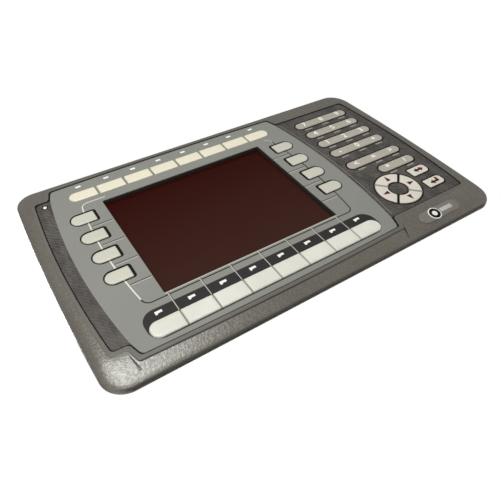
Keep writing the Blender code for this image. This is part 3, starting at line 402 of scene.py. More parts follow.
class Shader:
    """One material's node tree, in which a value is a number, a colour or another node's output."""

    def __init__(self, name):
        self.material = bpy.data.materials.new(name)
        self.material.use_nodes = True
        self.tree = self.material.node_tree
        self.surface = self.tree.nodes["Principled BSDF"]
        self.place = self.node("ShaderNodeTexCoord").outputs["Object"]

    def feed(self, socket, value):
        if isinstance(value, bpy.types.NodeSocket):
            self.tree.links.new(value, socket)
        elif socket.type == "RGBA":
            socket.default_value = (*value, 1.0)
        else:
            socket.default_value = value

    def node(self, kind, inputs=(), **settings):
        """A new node with its settings, and its inputs by name or number."""
        made = self.tree.nodes.new(kind)
        for key, value in settings.items():
            setattr(made, key, value)
        for key, value in dict(inputs).items():
            self.feed(made.inputs[key], value)
        return made

    def noise(self, scale, detail=3.0, stretch=None):
        """Noise whose features are about 1 / scale metres across."""
        place = self.place
        if stretch:
            place = self.node("ShaderNodeMapping", {"Scale": stretch, "Vector": place}).outputs["Vector"]
        inputs = {"Scale": scale, "Detail": detail, "Vector": place}
        return self.node("ShaderNodeTexNoise", inputs).outputs["Fac"]

    def ramp(self, source, low, high, first=0.0, last=1.0):
        inputs = {"From Min": low, "From Max": high, "To Min": first, "To Max": last, "Value": source}
        return self.node("ShaderNodeMapRange", inputs).outputs["Result"]

    def cloud(self, scale, detail=3.0):
        """Soft patches from 0 to 1."""
        return self.ramp(self.noise(scale, detail), 0.3, 0.7)

    def mix(self, share, first, second):
        inputs = {"Factor": share, "A": first, "B": second}
        return self.node("ShaderNodeMix", inputs, data_type="RGBA").outputs["Result"]

    def math(self, operation, first, second=0):
        return self.node("ShaderNodeMath", {0: first, 1: second}, operation=operation).outputs["Value"]

    def axis(self, name):
        return self.node("ShaderNodeSeparateXYZ", {"Vector": self.place}).outputs[name]

    def weave(self, scale):
        """A regular weave from -1 to 1 across the X and Z directions."""
        across = self.math("SINE", self.math("MULTIPLY", self.axis("X"), scale))
        along = self.math("SINE", self.math("MULTIPLY", self.axis("Z"), scale))
        return self.math("MULTIPLY", across, along)

    def bump(self, height, depth, before=None):
        """Surface relief of a depth in metres."""
        inputs = {"Distance": depth, "Height": height}
        if before:
            inputs["Normal"] = before
        return self.node("ShaderNodeBump", inputs).outputs["Normal"]

    def finish(self, colour, roughness, normal, metallic=0.0, specular=0.5, coat=0.0):
        values = {
            "Base Color": colour,
            "Roughness": roughness,
            "Normal": normal,
            "Metallic": metallic,
            "Specular IOR Level": specular,
            "Coat Weight": coat,
        }
        for key, value in values.items():
            self.feed(self.surface.inputs[key], value)
        return self.material


def shade(colour, factor):
    return tuple(channel * factor for channel in colour)


def moulded(name, colour, roughness, grain, depth, spread, specular=0.5):
    """Moulded plastic: slight clouding of the colour and a fine grain."""
    shader = Shader(name)
    cloud = shader.cloud(35, 4)
    fine = shader.noise(grain, 2)
    tone = shader.mix(cloud, shade(colour, 1 - spread), shade(colour, 1 + spread))
    speck = shader.ramp(fine, 0.3, 0.7)
    tone_fine = shader.mix(speck, shade(colour, 1 - spread / 2), shade(colour, 1 + spread / 2))
    rough = shader.ramp(fine, 0.3, 0.7, roughness - 0.05, roughness + 0.05)
    return shader.finish(shader.mix(0.5, tone, tone_fine), rough, shader.bump(fine, depth), specular=specular)


def printed(name, colour, roughness=0.6, spread=0.05, specular=0.3):
    """Smooth ink."""
    return moulded(name, colour, roughness, 3000, 0.00001, spread, specular)


def bezel_paint():
    """Dark textured paint on the cast frame: a glossy grain that sparkles where a light is mirrored."""
    shader = Shader("bezel_paint")
    grain = shader.noise(1500, 4)
    coarse = shader.noise(640, 3)
    base = shader.mix(shader.cloud(28), (0.118, 0.104, 0.088), (0.14, 0.126, 0.108))
    colour = shader.mix(shader.ramp(grain, 0.5, 0.72, 0.0, 0.5), base, (0.24, 0.22, 0.19))
    rough = shader.ramp(coarse, 0.3, 0.7, 0.2, 0.38)
    normal = shader.bump(grain, 0.00004, before=shader.bump(coarse, 0.00013))
    return shader.finish(colour, rough, normal, specular=0.9)


def woven_print():
    """Dark printed film: a fine woven dot screen under a wavering hatch."""
    shader = Shader("woven_print")
    weave = shader.weave(5200)
    waver = {"Scale": 230, "Distortion": 6, "Detail": 2, "Detail Scale": 1.6, "Vector": shader.place}
    wave = shader.node("ShaderNodeTexWave", waver, wave_type="BANDS", bands_direction="DIAGONAL")
    hatch = wave.outputs["Fac"]
    # The hatch fades out towards the left wing's lower end.
    upper = shader.ramp(shader.axis("Z"), FILM_MIDDLE.z - 0.03, FILM_MIDDLE.z + 0.03, 0.25, 1.0)
    clear = shader.math("MAXIMUM", upper, shader.ramp(shader.axis("X"), 0, 0.01))
    stripes = shader.math("MULTIPLY", shader.ramp(hatch, 0, 1, -0.2, 0.2), clear)
    blotch = shader.noise(260, 4, (1.0, 1.0, 0.45))
    share = shader.math("ADD", shader.ramp(weave, -1, 1, -0.1, 0.1), blotch)
    share = shader.ramp(shader.math("ADD", share, stripes), 0.25, 0.78)
    colour = shader.mix(share, (0.042, 0.035, 0.032), (0.118, 0.104, 0.098))
    normal = shader.bump(weave, 0.00003, before=shader.bump(hatch, 0.00006))
    return shader.finish(colour, 0.5, normal, specular=0.4)


def strip_paint():
    """Pale key strip with painted grey shade in the valleys between its keys."""
    shader = Shader("strip_cap")
    along = shader.math("SUBTRACT", shader.axis("X"), (FIELD_X - 4 * BOTTOM_PITCH) * MM)
    share = shader.math("FRACT", shader.math("MULTIPLY", along, 1 / (BOTTOM_PITCH * MM)))
    away = shader.math("ABSOLUTE", shader.math("SUBTRACT", share, 0.5))
    fine = shader.noise(1500, 3)
    base = shader.mix(shader.cloud(60), (0.79, 0.775, 0.715), (0.73, 0.715, 0.655))
    # Painted shade: grey where the strip dips between neighbouring keys.
    colour = shader.mix(shader.ramp(away, 0.445, 0.485), base, (0.5, 0.49, 0.44))
    return shader.finish(colour, 0.4, shader.bump(fine, 0.000012))


def display_glass():
    """Dark glossy window, lighter and warmer towards the bottom."""
    shader = Shader("display_glass")
    height = shader.ramp(shader.axis("Z"), FILM_MIDDLE.z - 0.045, FILM_MIDDLE.z + 0.048)
    tone = shader.mix(height, (0.049, 0.0195, 0.015), (0.027, 0.0022, 0.0012))
    clouded = shader.mix(shader.cloud(14), tone, (0.036, 0.007, 0.005))
    normal = shader.bump(shader.noise(9, 2), 0.00002)
    return shader.finish(shader.mix(0.25, tone, clouded), 0.1, normal, specular=0.05)


def brushed_metal(name, colour, roughness, stretch):
    """Plated metal with a faint rolling direction."""
    shader = Shader(name)
    streaks = shader.noise(60, 5, stretch)
    tone = shader.mix(shader.cloud(30), shade(colour, 0.86), shade(colour, 1.1))
    rough = shader.ramp(streaks, 0.3, 0.7, roughness - 0.09, roughness + 0.09)
    return shader.finish(tone, rough, shader.bump(streaks, 0.00004), metallic=1.0)


def powder_coat(name, colour, roughness):
    """Powder coat with its orange-peel relief."""
    shader = Shader(name)
    fine = shader.noise(2600, 2)
    tone = shader.mix(shader.cloud(22), shade(colour, 0.9), shade(colour, 1.12))
    rough = shader.ramp(fine, 0.3, 0.7, roughness - 0.08, roughness + 0.08)
    relief = shader.bump(shader.noise(520, 2), 0.00016)
    return shader.finish(tone, rough, shader.bump(fine, 0.00003, before=relief))


def board_laminate():
    """Green solder-masked board with a faint glass weave."""
    shader = Shader("board_laminate")
    weave = shader.weave(4000)
    colour = shader.mix(shader.ramp(weave, -1, 1), (0.012, 0.085, 0.035), (0.022, 0.13, 0.055))
    return shader.finish(colour, 0.38, shader.bump(weave, 0.00002))


def lamp_lens():
    """Milky lamp lens, unlit."""
    shader = Shader("lamp_lens")
    colour = shader.mix(shader.cloud(900), (0.8, 0.77, 0.73), (0.92, 0.89, 0.86))
    return shader.finish(colour, 0.22, shader.bump(shader.noise(700, 2), 0.00002), coat=0.4)


MATERIALS = {
    "bezel": bezel_paint(),
    "lip": moulded("lip_paint", (0.14, 0.131, 0.117), 0.5, 1500, 0.00003, 0.14, 0.4),
    "badge": moulded("badge_plastic", (0.2, 0.188, 0.17), 0.4, 1500, 0.00002, 0.05),
    "woven": woven_print(),
    "field": printed("field_print", (0.255, 0.252, 0.236), 0.55, 0.05, 0.35),
    "black": printed("black_print", (0.006, 0.005, 0.005), 0.6, 0.1, 0.15),
    "band": printed("band_print", (0.028, 0.026, 0.0265), 0.6, 0.08, 0.2),
    "wall": printed("display_wall", (0.042, 0.036, 0.033), 0.6, 0.1, 0.2),
    "digit": printed("digit_print", (0.93, 0.91, 0.87), 0.5, 0.03),
    "white": printed("white_print", (0.78, 0.76, 0.71), 0.55, 0.04),
    "pale": printed("pale_print", (0.52, 0.51, 0.47), 0.55),
    "shadow": printed("shadow_print", (0.105, 0.103, 0.095)),
    "label": printed("label_print", (0.3, 0.285, 0.265), 0.6, 0.06),
    "red": printed("red_print", (0.085, 0.009, 0.009), 0.5, 0.08),
    "cream": moulded("cream_cap", (0.83, 0.77, 0.63), 0.42, 1500, 0.000012, 0.03),
    "strip": strip_paint(),
    "side": moulded("side_cap", (0.6, 0.585, 0.51), 0.45, 1500, 0.000015, 0.05),
    "grey": moulded("grey_cap", (0.45, 0.408, 0.36), 0.5, 900, 0.00003, 0.12),
    "ring": moulded("ring_cap", (0.74, 0.69, 0.62), 0.45, 1300, 0.00002, 0.05),
    "glass": display_glass(),
    "lens": lamp_lens(),
    "steel": brushed_metal("plated_steel", (0.55, 0.56, 0.57), 0.36, (1, 1, 14)),
    "plate_steel": brushed_metal("plate_steel", (0.5, 0.51, 0.52), 0.4, (14, 1, 1)),
    "screw_steel": brushed_metal("screw_steel", (0.62, 0.62, 0.6), 0.28, (1, 1, 1)),
    "brass": brushed_metal("contact_brass", (0.8, 0.6, 0.28), 0.3, (1, 1, 1)),
    "tray": powder_coat("tray_coat", (0.33, 0.335, 0.335), 0.45),
    "cover": powder_coat("cover_coat", (0.035, 0.036, 0.038), 0.5),
    "rubber": moulded("gasket_foam", (0.016, 0.016, 0.016), 0.85, 1200, 0.0002, 0.2, 0.2),
    "board": board_laminate(),
    "socket": moulded("socket_plastic", (0.018, 0.018, 0.02), 0.42, 1600, 0.00002, 0.1),
    "terminal": moulded("terminal_plastic", (0.02, 0.2, 0.075), 0.42, 1600, 0.00002, 0.08),
    "rating": moulded("rating_foil", (0.55, 0.56, 0.56), 0.35, 2500, 0.00001, 0.05),
}


# Frame round the film

EDGE_FRONT = -1.3
NOSE_INSET = 1.2
NOSE_RISE = 2.55
NOSE_TURN = math.radians(82)
SLOPE_INSET = 16.5
SLOPE_BULGE = 0.11
SLOPE_FRONT = RIM_FRONT + 0.25
SIDE_INSET = 6.9
SIDE_BLEND = 1.15


def bezel_levels():
    """Insets of the frame's cross-section over and under the film, with their Y: a nose, then a slope."""
    levels = []
    for step in range(1, 9):
        angle = NOSE_TURN * step / 8
        levels.append((NOSE_INSET * (1 - math.cos(angle)), EDGE_FRONT - NOSE_RISE * math.sin(angle)))
    start_inset, start_y = levels[-1]
    for step in range(1, 7):
        share = step / 6
        rise = share + SLOPE_BULGE * math.sin(math.pi * share)
        inset = start_inset + (SLOPE_INSET - start_inset) * share
        levels.append((inset, start_y + (SLOPE_FRONT - start_y) * rise))
    return levels


def bezel_rings():
    """The frame's outlines from its rear edge to the film, with their Y. Its short sides are round."""
    rings = []
    for inset, y in ((0.3, 0.0), (0.0, -0.3), (0.0, EDGE_FRONT)):
        rings.append((flange_outline(inset, inset, FLANGE_CORNER), y))
    for inset_z, y in bezel_levels():
        rise = (EDGE_FRONT - y) / (EDGE_FRONT - SLOPE_FRONT)
        inset_x = SIDE_INSET * (1 - math.sqrt(max(0, 1 - rise**2))) ** SIDE_BLEND
        radius = FLANGE_CORNER - 0.55 * inset_x - 0.2 * inset_z
        rings.append((flange_outline(inset_x, inset_z, radius), y))
    return rings


def crease(start, end, width, depth):
    """A widening groove across the frame's lower band."""
    along = (Vector(end) - Vector(start)).normalized()
    side = Vector((-along.y, along.x)) * width / 2
    loop = [start, tuple(Vector(end) - side), tuple(Vector(end) + along * 0.6), tuple(Vector(end) + side)]
    return loft([(loop, depth), (loop, RIM_FRONT - 3)])


def make_bezel():
    lip_levels = ((3.3, -3.6), (2.7, -5.9), (2.55, -6.3), (2.25, -6.53), (1.9, RIM_FRONT))
    pocket_high = node_box("support_plate")[1]
    pocket = even_rect((0, 0), (pocket_high.x + 0.6, pocket_high.z + 0.6), 8)
    gasket_groove = [flange_outline(inset, inset, FLANGE_CORNER - inset) for inset in (3, 7)]
    cutters = [
        sheet([film_outline(FILM_GAP)], RIM_FRONT - 3, FILM_BACK + 0.3, True),
        sheet([film_outline(-1.2)], FILM_BACK - 0.5, -3.7, True),
        sheet([pocket], -3.8, 1, True),
        sheet(gasket_groove, -0.9, 1, True),
        crease((-120.1, -68.4), (-118.1, -79.4), 1.6, -4.2),
        crease((62.6, -71.0), (57.2, -82.4), 2.0, -3.9),
    ]
    lip = loft([(film_outline(grow), y) for grow, y in lip_levels])
    add_piece("bezel_shell", cut(loft(bezel_rings()), cutters), "bezel", "panel", "front_bezel", 30)
    add_piece("film_lip", cut(lip, cutters), "lip", "panel", "front_bezel", 30)


make_bezel()


# Key caps


def key_outline(name):
    """Function that gives a cap's edge, grown by a distance."""
    low, high = node_box(name)
    family = name.rsplit("_", 1)[0]
    rim_x, rim_z = CAP_RIMS.get(family, (CAP_RIM, CAP_RIM))
    # Neighbours in the bottom row nearly touch, but the row's two ends stay where they are.
    reach = BOTTOM_REACH if family == "key_bottom" else 0
    left = low.x + rim_x - (0 if name.endswith("_1") else reach)
    right = high.x - rim_x + (0 if name.endswith("_8") else reach)
    centre = ((left + right) / 2, (low.z + high.z) / 2)
    half = ((right - left) / 2, (high.z - low.z) / 2 - rim_z)
    round_end = half[1] - 0.1
    radii = [SMALL_CORNER] * 4
    if family in ("key_right", "key_row") or name in ("key_top_8", "key_bottom_8"):
        radii[0] = radii[3] = round_end
    if family in ("key_left", "key_row") or name in ("key_top_1", "key_bottom_1"):
        radii[1] = radii[2] = round_end
    if name in MARK_KEYS:
        radii[0] = radii[3] = MARK_CORNER
    return lambda grow=0.0: rounded_rect(centre, half, radii, grow)


def ring_size():
    """Middle and outer radius of the cursor ring."""
    left = node_box("cursor_left")[0].x
    right = node_box("cursor_right")[1].x
    up = node_box("cursor_up")[1].z
    down = node_box("cursor_down")[0].z
    return ((left + right) / 2, (up + down) / 2), (right - left) / 2 - CAP_RIM


RING_CENTRE, RING_OUTER = ring_size()
RING_INNER = 7.2
RING_SPLIT = 1.7
DIRECTIONS = {"right": 0.0, "up": QUARTER_TURN, "left": math.pi, "down": -QUARTER_TURN}


def ring_quarter(direction, grow):
    outer = RING_OUTER + grow
    inner = RING_INNER - grow
    half_split = RING_SPLIT / 2 - grow
    outer_half = math.pi / 4 - math.asin(half_split / outer)
    inner_half = math.pi / 4 - math.asin(half_split / inner)
    points = arc(RING_CENTRE, outer, direction - outer_half, direction + outer_half, 28)
    return points + arc(RING_CENTRE, inner, direction + inner_half, direction - inner_half, 18)


def all_outlines():
    """Each key's outline function by the key's name."""
    groups = ((("key_top", "key_bottom"), 8), (("key_left", "key_right"), 4), (("key_row",), 6))
    names = []
    for families, count in groups:
        names += [f"{family}_{number}" for number in range(1, count + 1) for family in families]
    outlines = {name: key_outline(name) for name in names + list(MARK_KEYS)}
    for side, direction in DIRECTIONS.items():
        outlines["cursor_" + side] = lambda grow=0.0, direction=direction: ring_quarter(direction, grow)
    return outlines


OUTLINES = all_outlines()

# How a cap's face rises inwards from its edge: inset and height above the film, for a flat and a full cap.
FLAT_CAP = ((0.0, 0.1), (0.06, 0.3), (0.2, 0.45), (0.42, 0.56), (0.8, 0.63), (1.6, 0.68), (2.8, 0.7))
FULL_CAP = ((0.0, 0.1), (0.1, 0.4), (0.35, 0.68), (0.75, 0.86), (1.3, 0.96), (2.2, 1.02), (3.6, 1.05))
CAP_BACK = node_box("key_top_1")[1].y
CAP_SEAT = FILM_BACK + 0.3
BOTTOM_STEM = 0.05
# The start of a key's name, then its caps' material, profile and slot. The first row that fits is taken.
CAP_LOOKS = (
    ("key_top", "cream", FLAT_CAP, "cream_key"),
    ("key_bottom", "strip", FULL_CAP, "white_key"),
    ("key_left", "side", FLAT_CAP, "side_key"),
    ("key_right", "side", FLAT_CAP, "side_key"),
    ("key_row", "grey", FLAT_CAP, "grey_key"),
    ("key_", "ring", FLAT_CAP, "ring_key"),
    ("cursor_", "ring", FLAT_CAP, "ring_key"),
)


def make_caps():
    for name, outline in OUTLINES.items():
        material, profile, slot = next(look[1:] for look in CAP_LOOKS if name.startswith(look[0]))
        stem = outline(BOTTOM_STEM if name.startswith("key_bottom") else CAP_RIM)
        rings = [(stem, CAP_BACK), (stem, CAP_SEAT), (outline(), CAP_SEAT)]
        rings += [(outline(-inset), FILM_FRONT - height) for inset, height in profile]
        add_piece(name + "_cap", loft(rings), material, name, name, 50)


make_caps()


# Film and its print

INK_STEP = 0.03
INK_SEAT = 0.02
INK_RIM = 1.15
LED = middle("status_led")
BAND_TOP = -50.8
BAND_BOTTOM = -70.2
CONTOUR_TOP = 50.6
CONTOUR_BOTTOM = -46.0
CONTOUR_CORNER = 4.5
SIGN_PITCH = 16.5


def layer(name, loops, level, material):
    """Ink a hair above the film and let slightly into it. A higher level covers a lower one."""
    add_piece(name, sheet(loops, FILM_FRONT - INK_STEP * level, FILM_FRONT + INK_SEAT), material)


def slots(*families):
    return [outline(SLOT) for name, outline in OUTLINES.items() if name.startswith(families)]


def bottom_slot():
    """The one long hole that all the bottom keys share."""
    low = node_box("key_bottom_1")[0]
    high = node_box("key_bottom_8")[1]
    rim_x, rim_z = CAP_RIMS["key_bottom"]
    half = ((high.x - low.x) / 2 - rim_x, (high.z - low.z) / 2 - rim_z)
    return even_rect(((low.x + high.x) / 2, (low.z + high.z) / 2), half, half[1] - 0.1, SLOT)


def make_film():
    """The film itself, the black line along its edge, its light field and the dark band on that."""
    openings = [display_outline(0), bottom_slot()]
    lamp = circle((LED.x, LED.z), 1.55, 32)
    keys = slots("key_top", "key_left", "key_right", "key_row", *MARK_KEYS, "cursor_")
    base = sheet([film_outline(0)] + openings + [lamp] + keys, FILM_FRONT, FILM_BACK)
    add_piece("film_base", base, "woven", "panel", "keypad_overlay")
    layer("film_edge", [film_outline(-0.02), film_outline(-0.5)], 3, "black")
    layer("print_field", [field_outline()] + openings + slots("key_top", "key_left", "key_right"), 1, "field")
    band = even_rect((FIELD_X, (BAND_TOP + BAND_BOTTOM) / 2), (78.65, (BAND_TOP - BAND_BOTTOM) / 2), 8.0)
    layer("print_band", [band, bottom_slot()], 2, "band")


def key_rims():
    """Black printed rims round the side keys, the number rows, the mark keys and the cursor ring."""
    for name, outline in OUTLINES.items():
        if name.startswith(("key_left", "key_right")):
            inwards = 0.5 if name.startswith("key_left") else -0.5
            outer = [(x + inwards, z + 0.3) for x, z in outline(1.3)]
        elif name.startswith("key_row") or name in MARK_KEYS:
            outer = outline(INK_RIM)
        else:
            continue
        layer("rim_" + name, [outer, outline(SLOT)], 2, "black")
    rings = (
        ("rim_ring_outer", RING_OUTER + INK_RIM, RING_OUTER + SLOT, 96),
        ("rim_ring_inner", RING_INNER - SLOT, RING_INNER - INK_RIM, 64),
    )
    for name, outer, inner, steps in rings:
        layer(name, [circle(RING_CENTRE, outer, steps), circle(RING_CENTRE, inner, steps)], 2, "black")
    for index, material in enumerate(("black", "label", "black", "label")):
        angle = math.pi / 4 + QUARTER_TURN * index
        spoke = Vector((math.cos(angle), math.sin(angle)))
        ends = [Vector(RING_CENTRE) + spoke * reach for reach in (RING_INNER - 0.6, RING_OUTER + 0.5)]
        layer(f"ring_split_{index + 1}", [ribbon(ends, RING_SPLIT - 2 * SLOT - 0.1)], 3, material)


def contour_x(z):
    return 76.0 - 0.0016 * (z - 5) ** 2


def contour_corner(side, level):
    """Rounded corner of the line round the display. Side and level are 1 or -1 for right or top."""
    z = CONTOUR_TOP - CONTOUR_CORNER if level > 0 else CONTOUR_BOTTOM + CONTOUR_CORNER
    centre = (FIELD_X + side * (contour_x(z) - CONTOUR_CORNER), z)
    start = 0 if side > 0 else math.pi
    return arc(centre, CONTOUR_CORNER, start, start + side * level * QUARTER_TURN, 10)


def make_contour():
    """Line round the display, painted as the highlight and shade of an embossed step: light at the left, dark
    at the right and the bottom, open at the top.
    """
    low = CONTOUR_BOTTOM + CONTOUR_CORNER
    high = CONTOUR_TOP - CONTOUR_CORNER
    heights = [low + (high - low) * step / 24 for step in range(25)]
    left, right = ([(FIELD_X + side * contour_x(z), z) for z in heights] for side in (-1, 1))
    end = FIELD_X - (contour_x(high) - CONTOUR_CORNER) + 12
    hook = contour_corner(-1, 1) + [(end, CONTOUR_TOP)]
    # Painted highlight on the left side and the top hook, painted shade on the right and the bottom, and a
    # pale painted highlight at the top right.
    layer("contour_left", [ribbon(left, 0.8), ribbon(hook, 0.6)], 2, "white")
    layer("contour_bottom", [dash(FIELD_X, CONTOUR_BOTTOM, contour_x(low) - CONTOUR_CORNER, 0.7)], 2, "black")
    layer("contour_corner_left", [ribbon(contour_corner(-1, -1), 0.7)], 2, "black")
    layer("contour_corner_right", [ribbon(contour_corner(1, -1), 0.7)], 2, "black")
    layer("contour_right", [ribbon(right, 0.7)], 2, "black")
    layer("contour_right_top", [ribbon(contour_corner(1, 1), 0.6)], 2, "pale")


def make_leaders():
    """Soft double lines from the display to the contour, under each pair of side keys: painted shade with a
    painted highlight below it, as on an embossed line.
    """
    column = [middle(f"key_left_{number}").z for number in range(1, 5)]
    dark = []
    light = []
    for z in column:
        level = z - (column[0] - column[1]) / 2
        for side in (-1, 1):
            inner = FIELD_X + side * (DISPLAY_HALF[0] + 0.6)
            outer = FIELD_X + side * (contour_x(level) - 1.2)
            dark.append(ribbon([(inner, level), (outer, level)], 0.8))
            light.append(ribbon([(inner, level - 0.9), (outer, level - 0.9)], 0.45))
    # Painted shade and painted highlight of the embossed lines.
    layer("leader_shade", dark, 2, "shadow")
    layer("leader_highlight", light, 2, "pale")


def make_marks():
    """Short marks in place of the names of the function keys."""
    layer("marks_top", [dash(middle(f"key_top_{n}").x, 69.5, 1.8, 1.7) for n in range(1, 9)], 2, "digit")
    hook = [(-2.1, -52.9), (-2.1, -55.2), (-0.8, -55.2), (-0.8, -54.5), (2.1, -54.5), (2.1, -52.9)]
    places = [middle(f"key_bottom_{number}").x for number in range(1, 9)]
    below = [[(x + shift, z) for shift, z in hook] for x in places]
    layer("marks_bottom", below, 3, "digit")


def make_dividers():
    """Painted highlight lines upright between the bottom keys, each with a painted shade line beside it on
    the field, as on an embossed ridge.
    """
    light = []
    dark = []
    for index in range(1, 8):
        x = FIELD_X + BOTTOM_PITCH * (index - 4)
        light.append(ribbon([(x, -44.4), (x, -58.2)], 0.5))
        dark.append(ribbon([(x + 0.55, -44.4), (x + 0.55, BAND_TOP)], 0.5))
    # Painted highlight and painted shade of the ridges between the bottom keys.
    layer("divider_highlight", light, 3, "pale")
    layer("divider_shade", dark, 3, "shadow")
    # Pale line along the display opening's lower edge: a painted highlight, which also stands for the film's
    # pale cut edge.
    edge = dash(FIELD_X, DISPLAY_Z - DISPLAY_HALF[1] - 0.45, DISPLAY_HALF[0], 0.6)
    layer("display_edge_highlight", [edge], 2, "pale")


def make_row_labels():
    """Small grey fields under the number keys."""
    loops = []
    for number in range(1, 7):
        place = middle(f"key_row_{number}")
        level = node_box(f"key_row_{number}")[0].z - 1.5
        for shift in (-SIGN_PITCH, 0, SIGN_PITCH) if number < 6 else (-8.3, 8.1):
            loops.append(dash(place.x + shift, level, 3.2, 1.4))
    layer("row_labels", loops, 1, "label")


def make_wing_line():
    """Faint line inside the right wing, along the field's end."""
    heights = [66 * (step / 16 - 1) for step in range(1, 32)]
    line = [(FIELD_X + field_half_width(z) + 2.4, z) for z in heights]
    layer("wing_line", [ribbon(line, 0.35)], 1, "label")


make_film()
key_rims()
make_contour()
make_leaders()
make_marks()
make_dividers()
make_row_labels()
make_wing_line()


# Signs on the keys, raised a little from the caps' faces

FACE = FILM_FRONT - FLAT_CAP[-1][1]
SIGN_FRONT = FACE - 0.05
SIGN_BACK = FACE + 0.2


def sign(text, x, z, size):
    """A generic digit or sign, centred on a point of the front."""
    curve = bpy.data.curves.new("digit", "FONT")
    curve.body = text
    curve.size = size * MM
    curve.align_x = "CENTER"
    curve.align_y = "CENTER"
    curve.extrude = (SIGN_BACK - SIGN_FRONT) / 2 * MM
    curve.offset = 0.14 * MM
    return curve_mesh(curve, x, (SIGN_FRONT + SIGN_BACK) / 2, z)


def make_signs():
    rows = {}
    for number, signs in enumerate(("789", "456", "123", "-0+", "<=>"), 1):
        x, _, z = middle(f"key_row_{number}")
        rows[number] = [sign(text, x + SIGN_PITCH * (index - 1), z, 6.6) for index, text in enumerate(signs)]
    x, _, z = middle("key_row_6")
    rows[6] = [sign("*", x - 8.0, z - 0.8, 7.5), sign("/", x + 8.0, z, 5.8)]
    for number, meshes in rows.items():
        add_piece(f"key_row_{number}_digits", merged(meshes), "digit", f"key_row_{number}")


def add_icon(name, body, loops):
    mesh = merged([sheet([loop], SIGN_FRONT, SIGN_BACK) for loop in loops])
    add_piece(name, mesh, "red", body)


def make_icons():
    """Arrowheads on the ring's quarters, a double arrow on one mark key and a bent one on the other."""
    for side, direction in DIRECTIONS.items():
        spoke = Vector((math.cos(direction), math.sin(direction)))
        across = Vector((-spoke.y, spoke.x))
        foot = Vector(RING_CENTRE) + spoke * 9.0
        loop = [Vector(RING_CENTRE) + spoke * 14.2, foot + across * 1.7, foot - across * 1.7]
        add_icon(f"cursor_{side}_arrow", "cursor_" + side, [loop])
    x, _, z = middle("key_select")
    heads = [[(x + side * 4.4, z), (x + side * 1.3, z + 2.2), (x + side * 1.3, z - 2.2)] for side in (-1, 1)]
    add_icon("key_select_icon", "key_select", heads + [dash(x, z, 1.6, 1.9)])
    x, _, z = middle("key_enter")
    head = [(x - 4.3, z - 0.8), (x - 1.0, z - 3.0), (x - 1.0, z + 1.4)]
    stem = ribbon([(x - 1.2, z - 0.8), (x + 3.6, z - 0.8)], 1.8)
    riser = ribbon([(x + 2.7, z - 0.8), (x + 2.7, z + 2.5)], 1.8)
    add_icon("key_enter_icon", "key_enter", [head, stem, riser])


make_signs()
make_icons()


# Display and status lamp

GLASS_BEVEL = 0.15
LAMP_RADIUS = 1.25


def make_display():
    """The film's window with its dark walls, painted shade along its right and top edges, and the glass
    behind it.
    """
    collar = sheet([display_outline(2.2), display_outline(0.02)], FILM_BACK + 0.05, WINDOW_LOW.y - 0.1)
    add_piece("display_collar", collar, "wall")
    # Black strips along the opening's right and top edges: painted shade of the recess walls seen there.
    left = FIELD_X - DISPLAY_HALF[0]
    right = FIELD_X + DISPLAY_HALF[0] + 0.3
    top = DISPLAY_Z + DISPLAY_HALF[1] + 0.3
    upright = ribbon([(right, DISPLAY_Z - DISPLAY_HALF[1]), (right, top)], 0.55)
    layer("display_edge_shade", [upright, ribbon([(left, top), (right - 0.4, top)], 0.4)], 2, "black")
    half = ((WINDOW_HIGH.x - WINDOW_LOW.x) / 2, (WINDOW_HIGH.z - WINDOW_LOW.z) / 2)
    edge = even_rect((FIELD_X, DISPLAY_Z), half, 2.0)
    face = even_rect((FIELD_X, DISPLAY_Z), half, 2.0, -GLASS_BEVEL)
    rings = [(face, WINDOW_HIGH.y), (edge, WINDOW_HIGH.y - GLASS_BEVEL)]
    rings += [(edge, WINDOW_LOW.y + GLASS_BEVEL), (face, WINDOW_LOW.y)]
    add_piece("window_glass", loft(rings), "glass", "panel", "display_window")
    border = sheet([display_outline(0.5), display_outline(-0.7)], WINDOW_LOW.y - 0.03, WINDOW_LOW.y + 0.02)
    add_piece("window_border", border, "black")


def make_lamp():
    back = node_box("status_led")[1].y
    length = back - FILM_FRONT + 0.05
    profile = [(0, LAMP_RADIUS - 0.2), (0.1, LAMP_RADIUS), (length, LAMP_RADIUS)]
    for step in range(1, 8):
        angle = QUARTER_TURN * step / 8
        profile.append((length + 0.55 * math.sin(angle), LAMP_RADIUS * math.cos(angle)))
    lens = turned(profile, (LED.x, back, LED.z), (0, -1, 0))
    add_piece("lamp_lens", lens, "lens", "panel", "status_led")
    layer("lamp_ring", [circle((LED.x, LED.z), 2.1), circle((LED.x, LED.z), 1.5)], 1, "black")


make_display()
make_lamp()


# Blank badge on the frame

BADGE_PLACE = (91.5, -76.0)
BADGE_HALF = (17.1, 4.4)
DISC_PLACE = (-4.6, 0.0)


def frame_depth(x, z):
    """Y of the frame's face at this place."""
    tree = BVHTree.FromObject(bpy.data.objects["bezel_shell"], bpy.context.evaluated_depsgraph_get())
    start = Vector((x, RIM_FRONT - 10, z)) * MM + FILM_MIDDLE
    return tree.ray_cast(start, Vector((0, 1, 0)))[0].y / MM


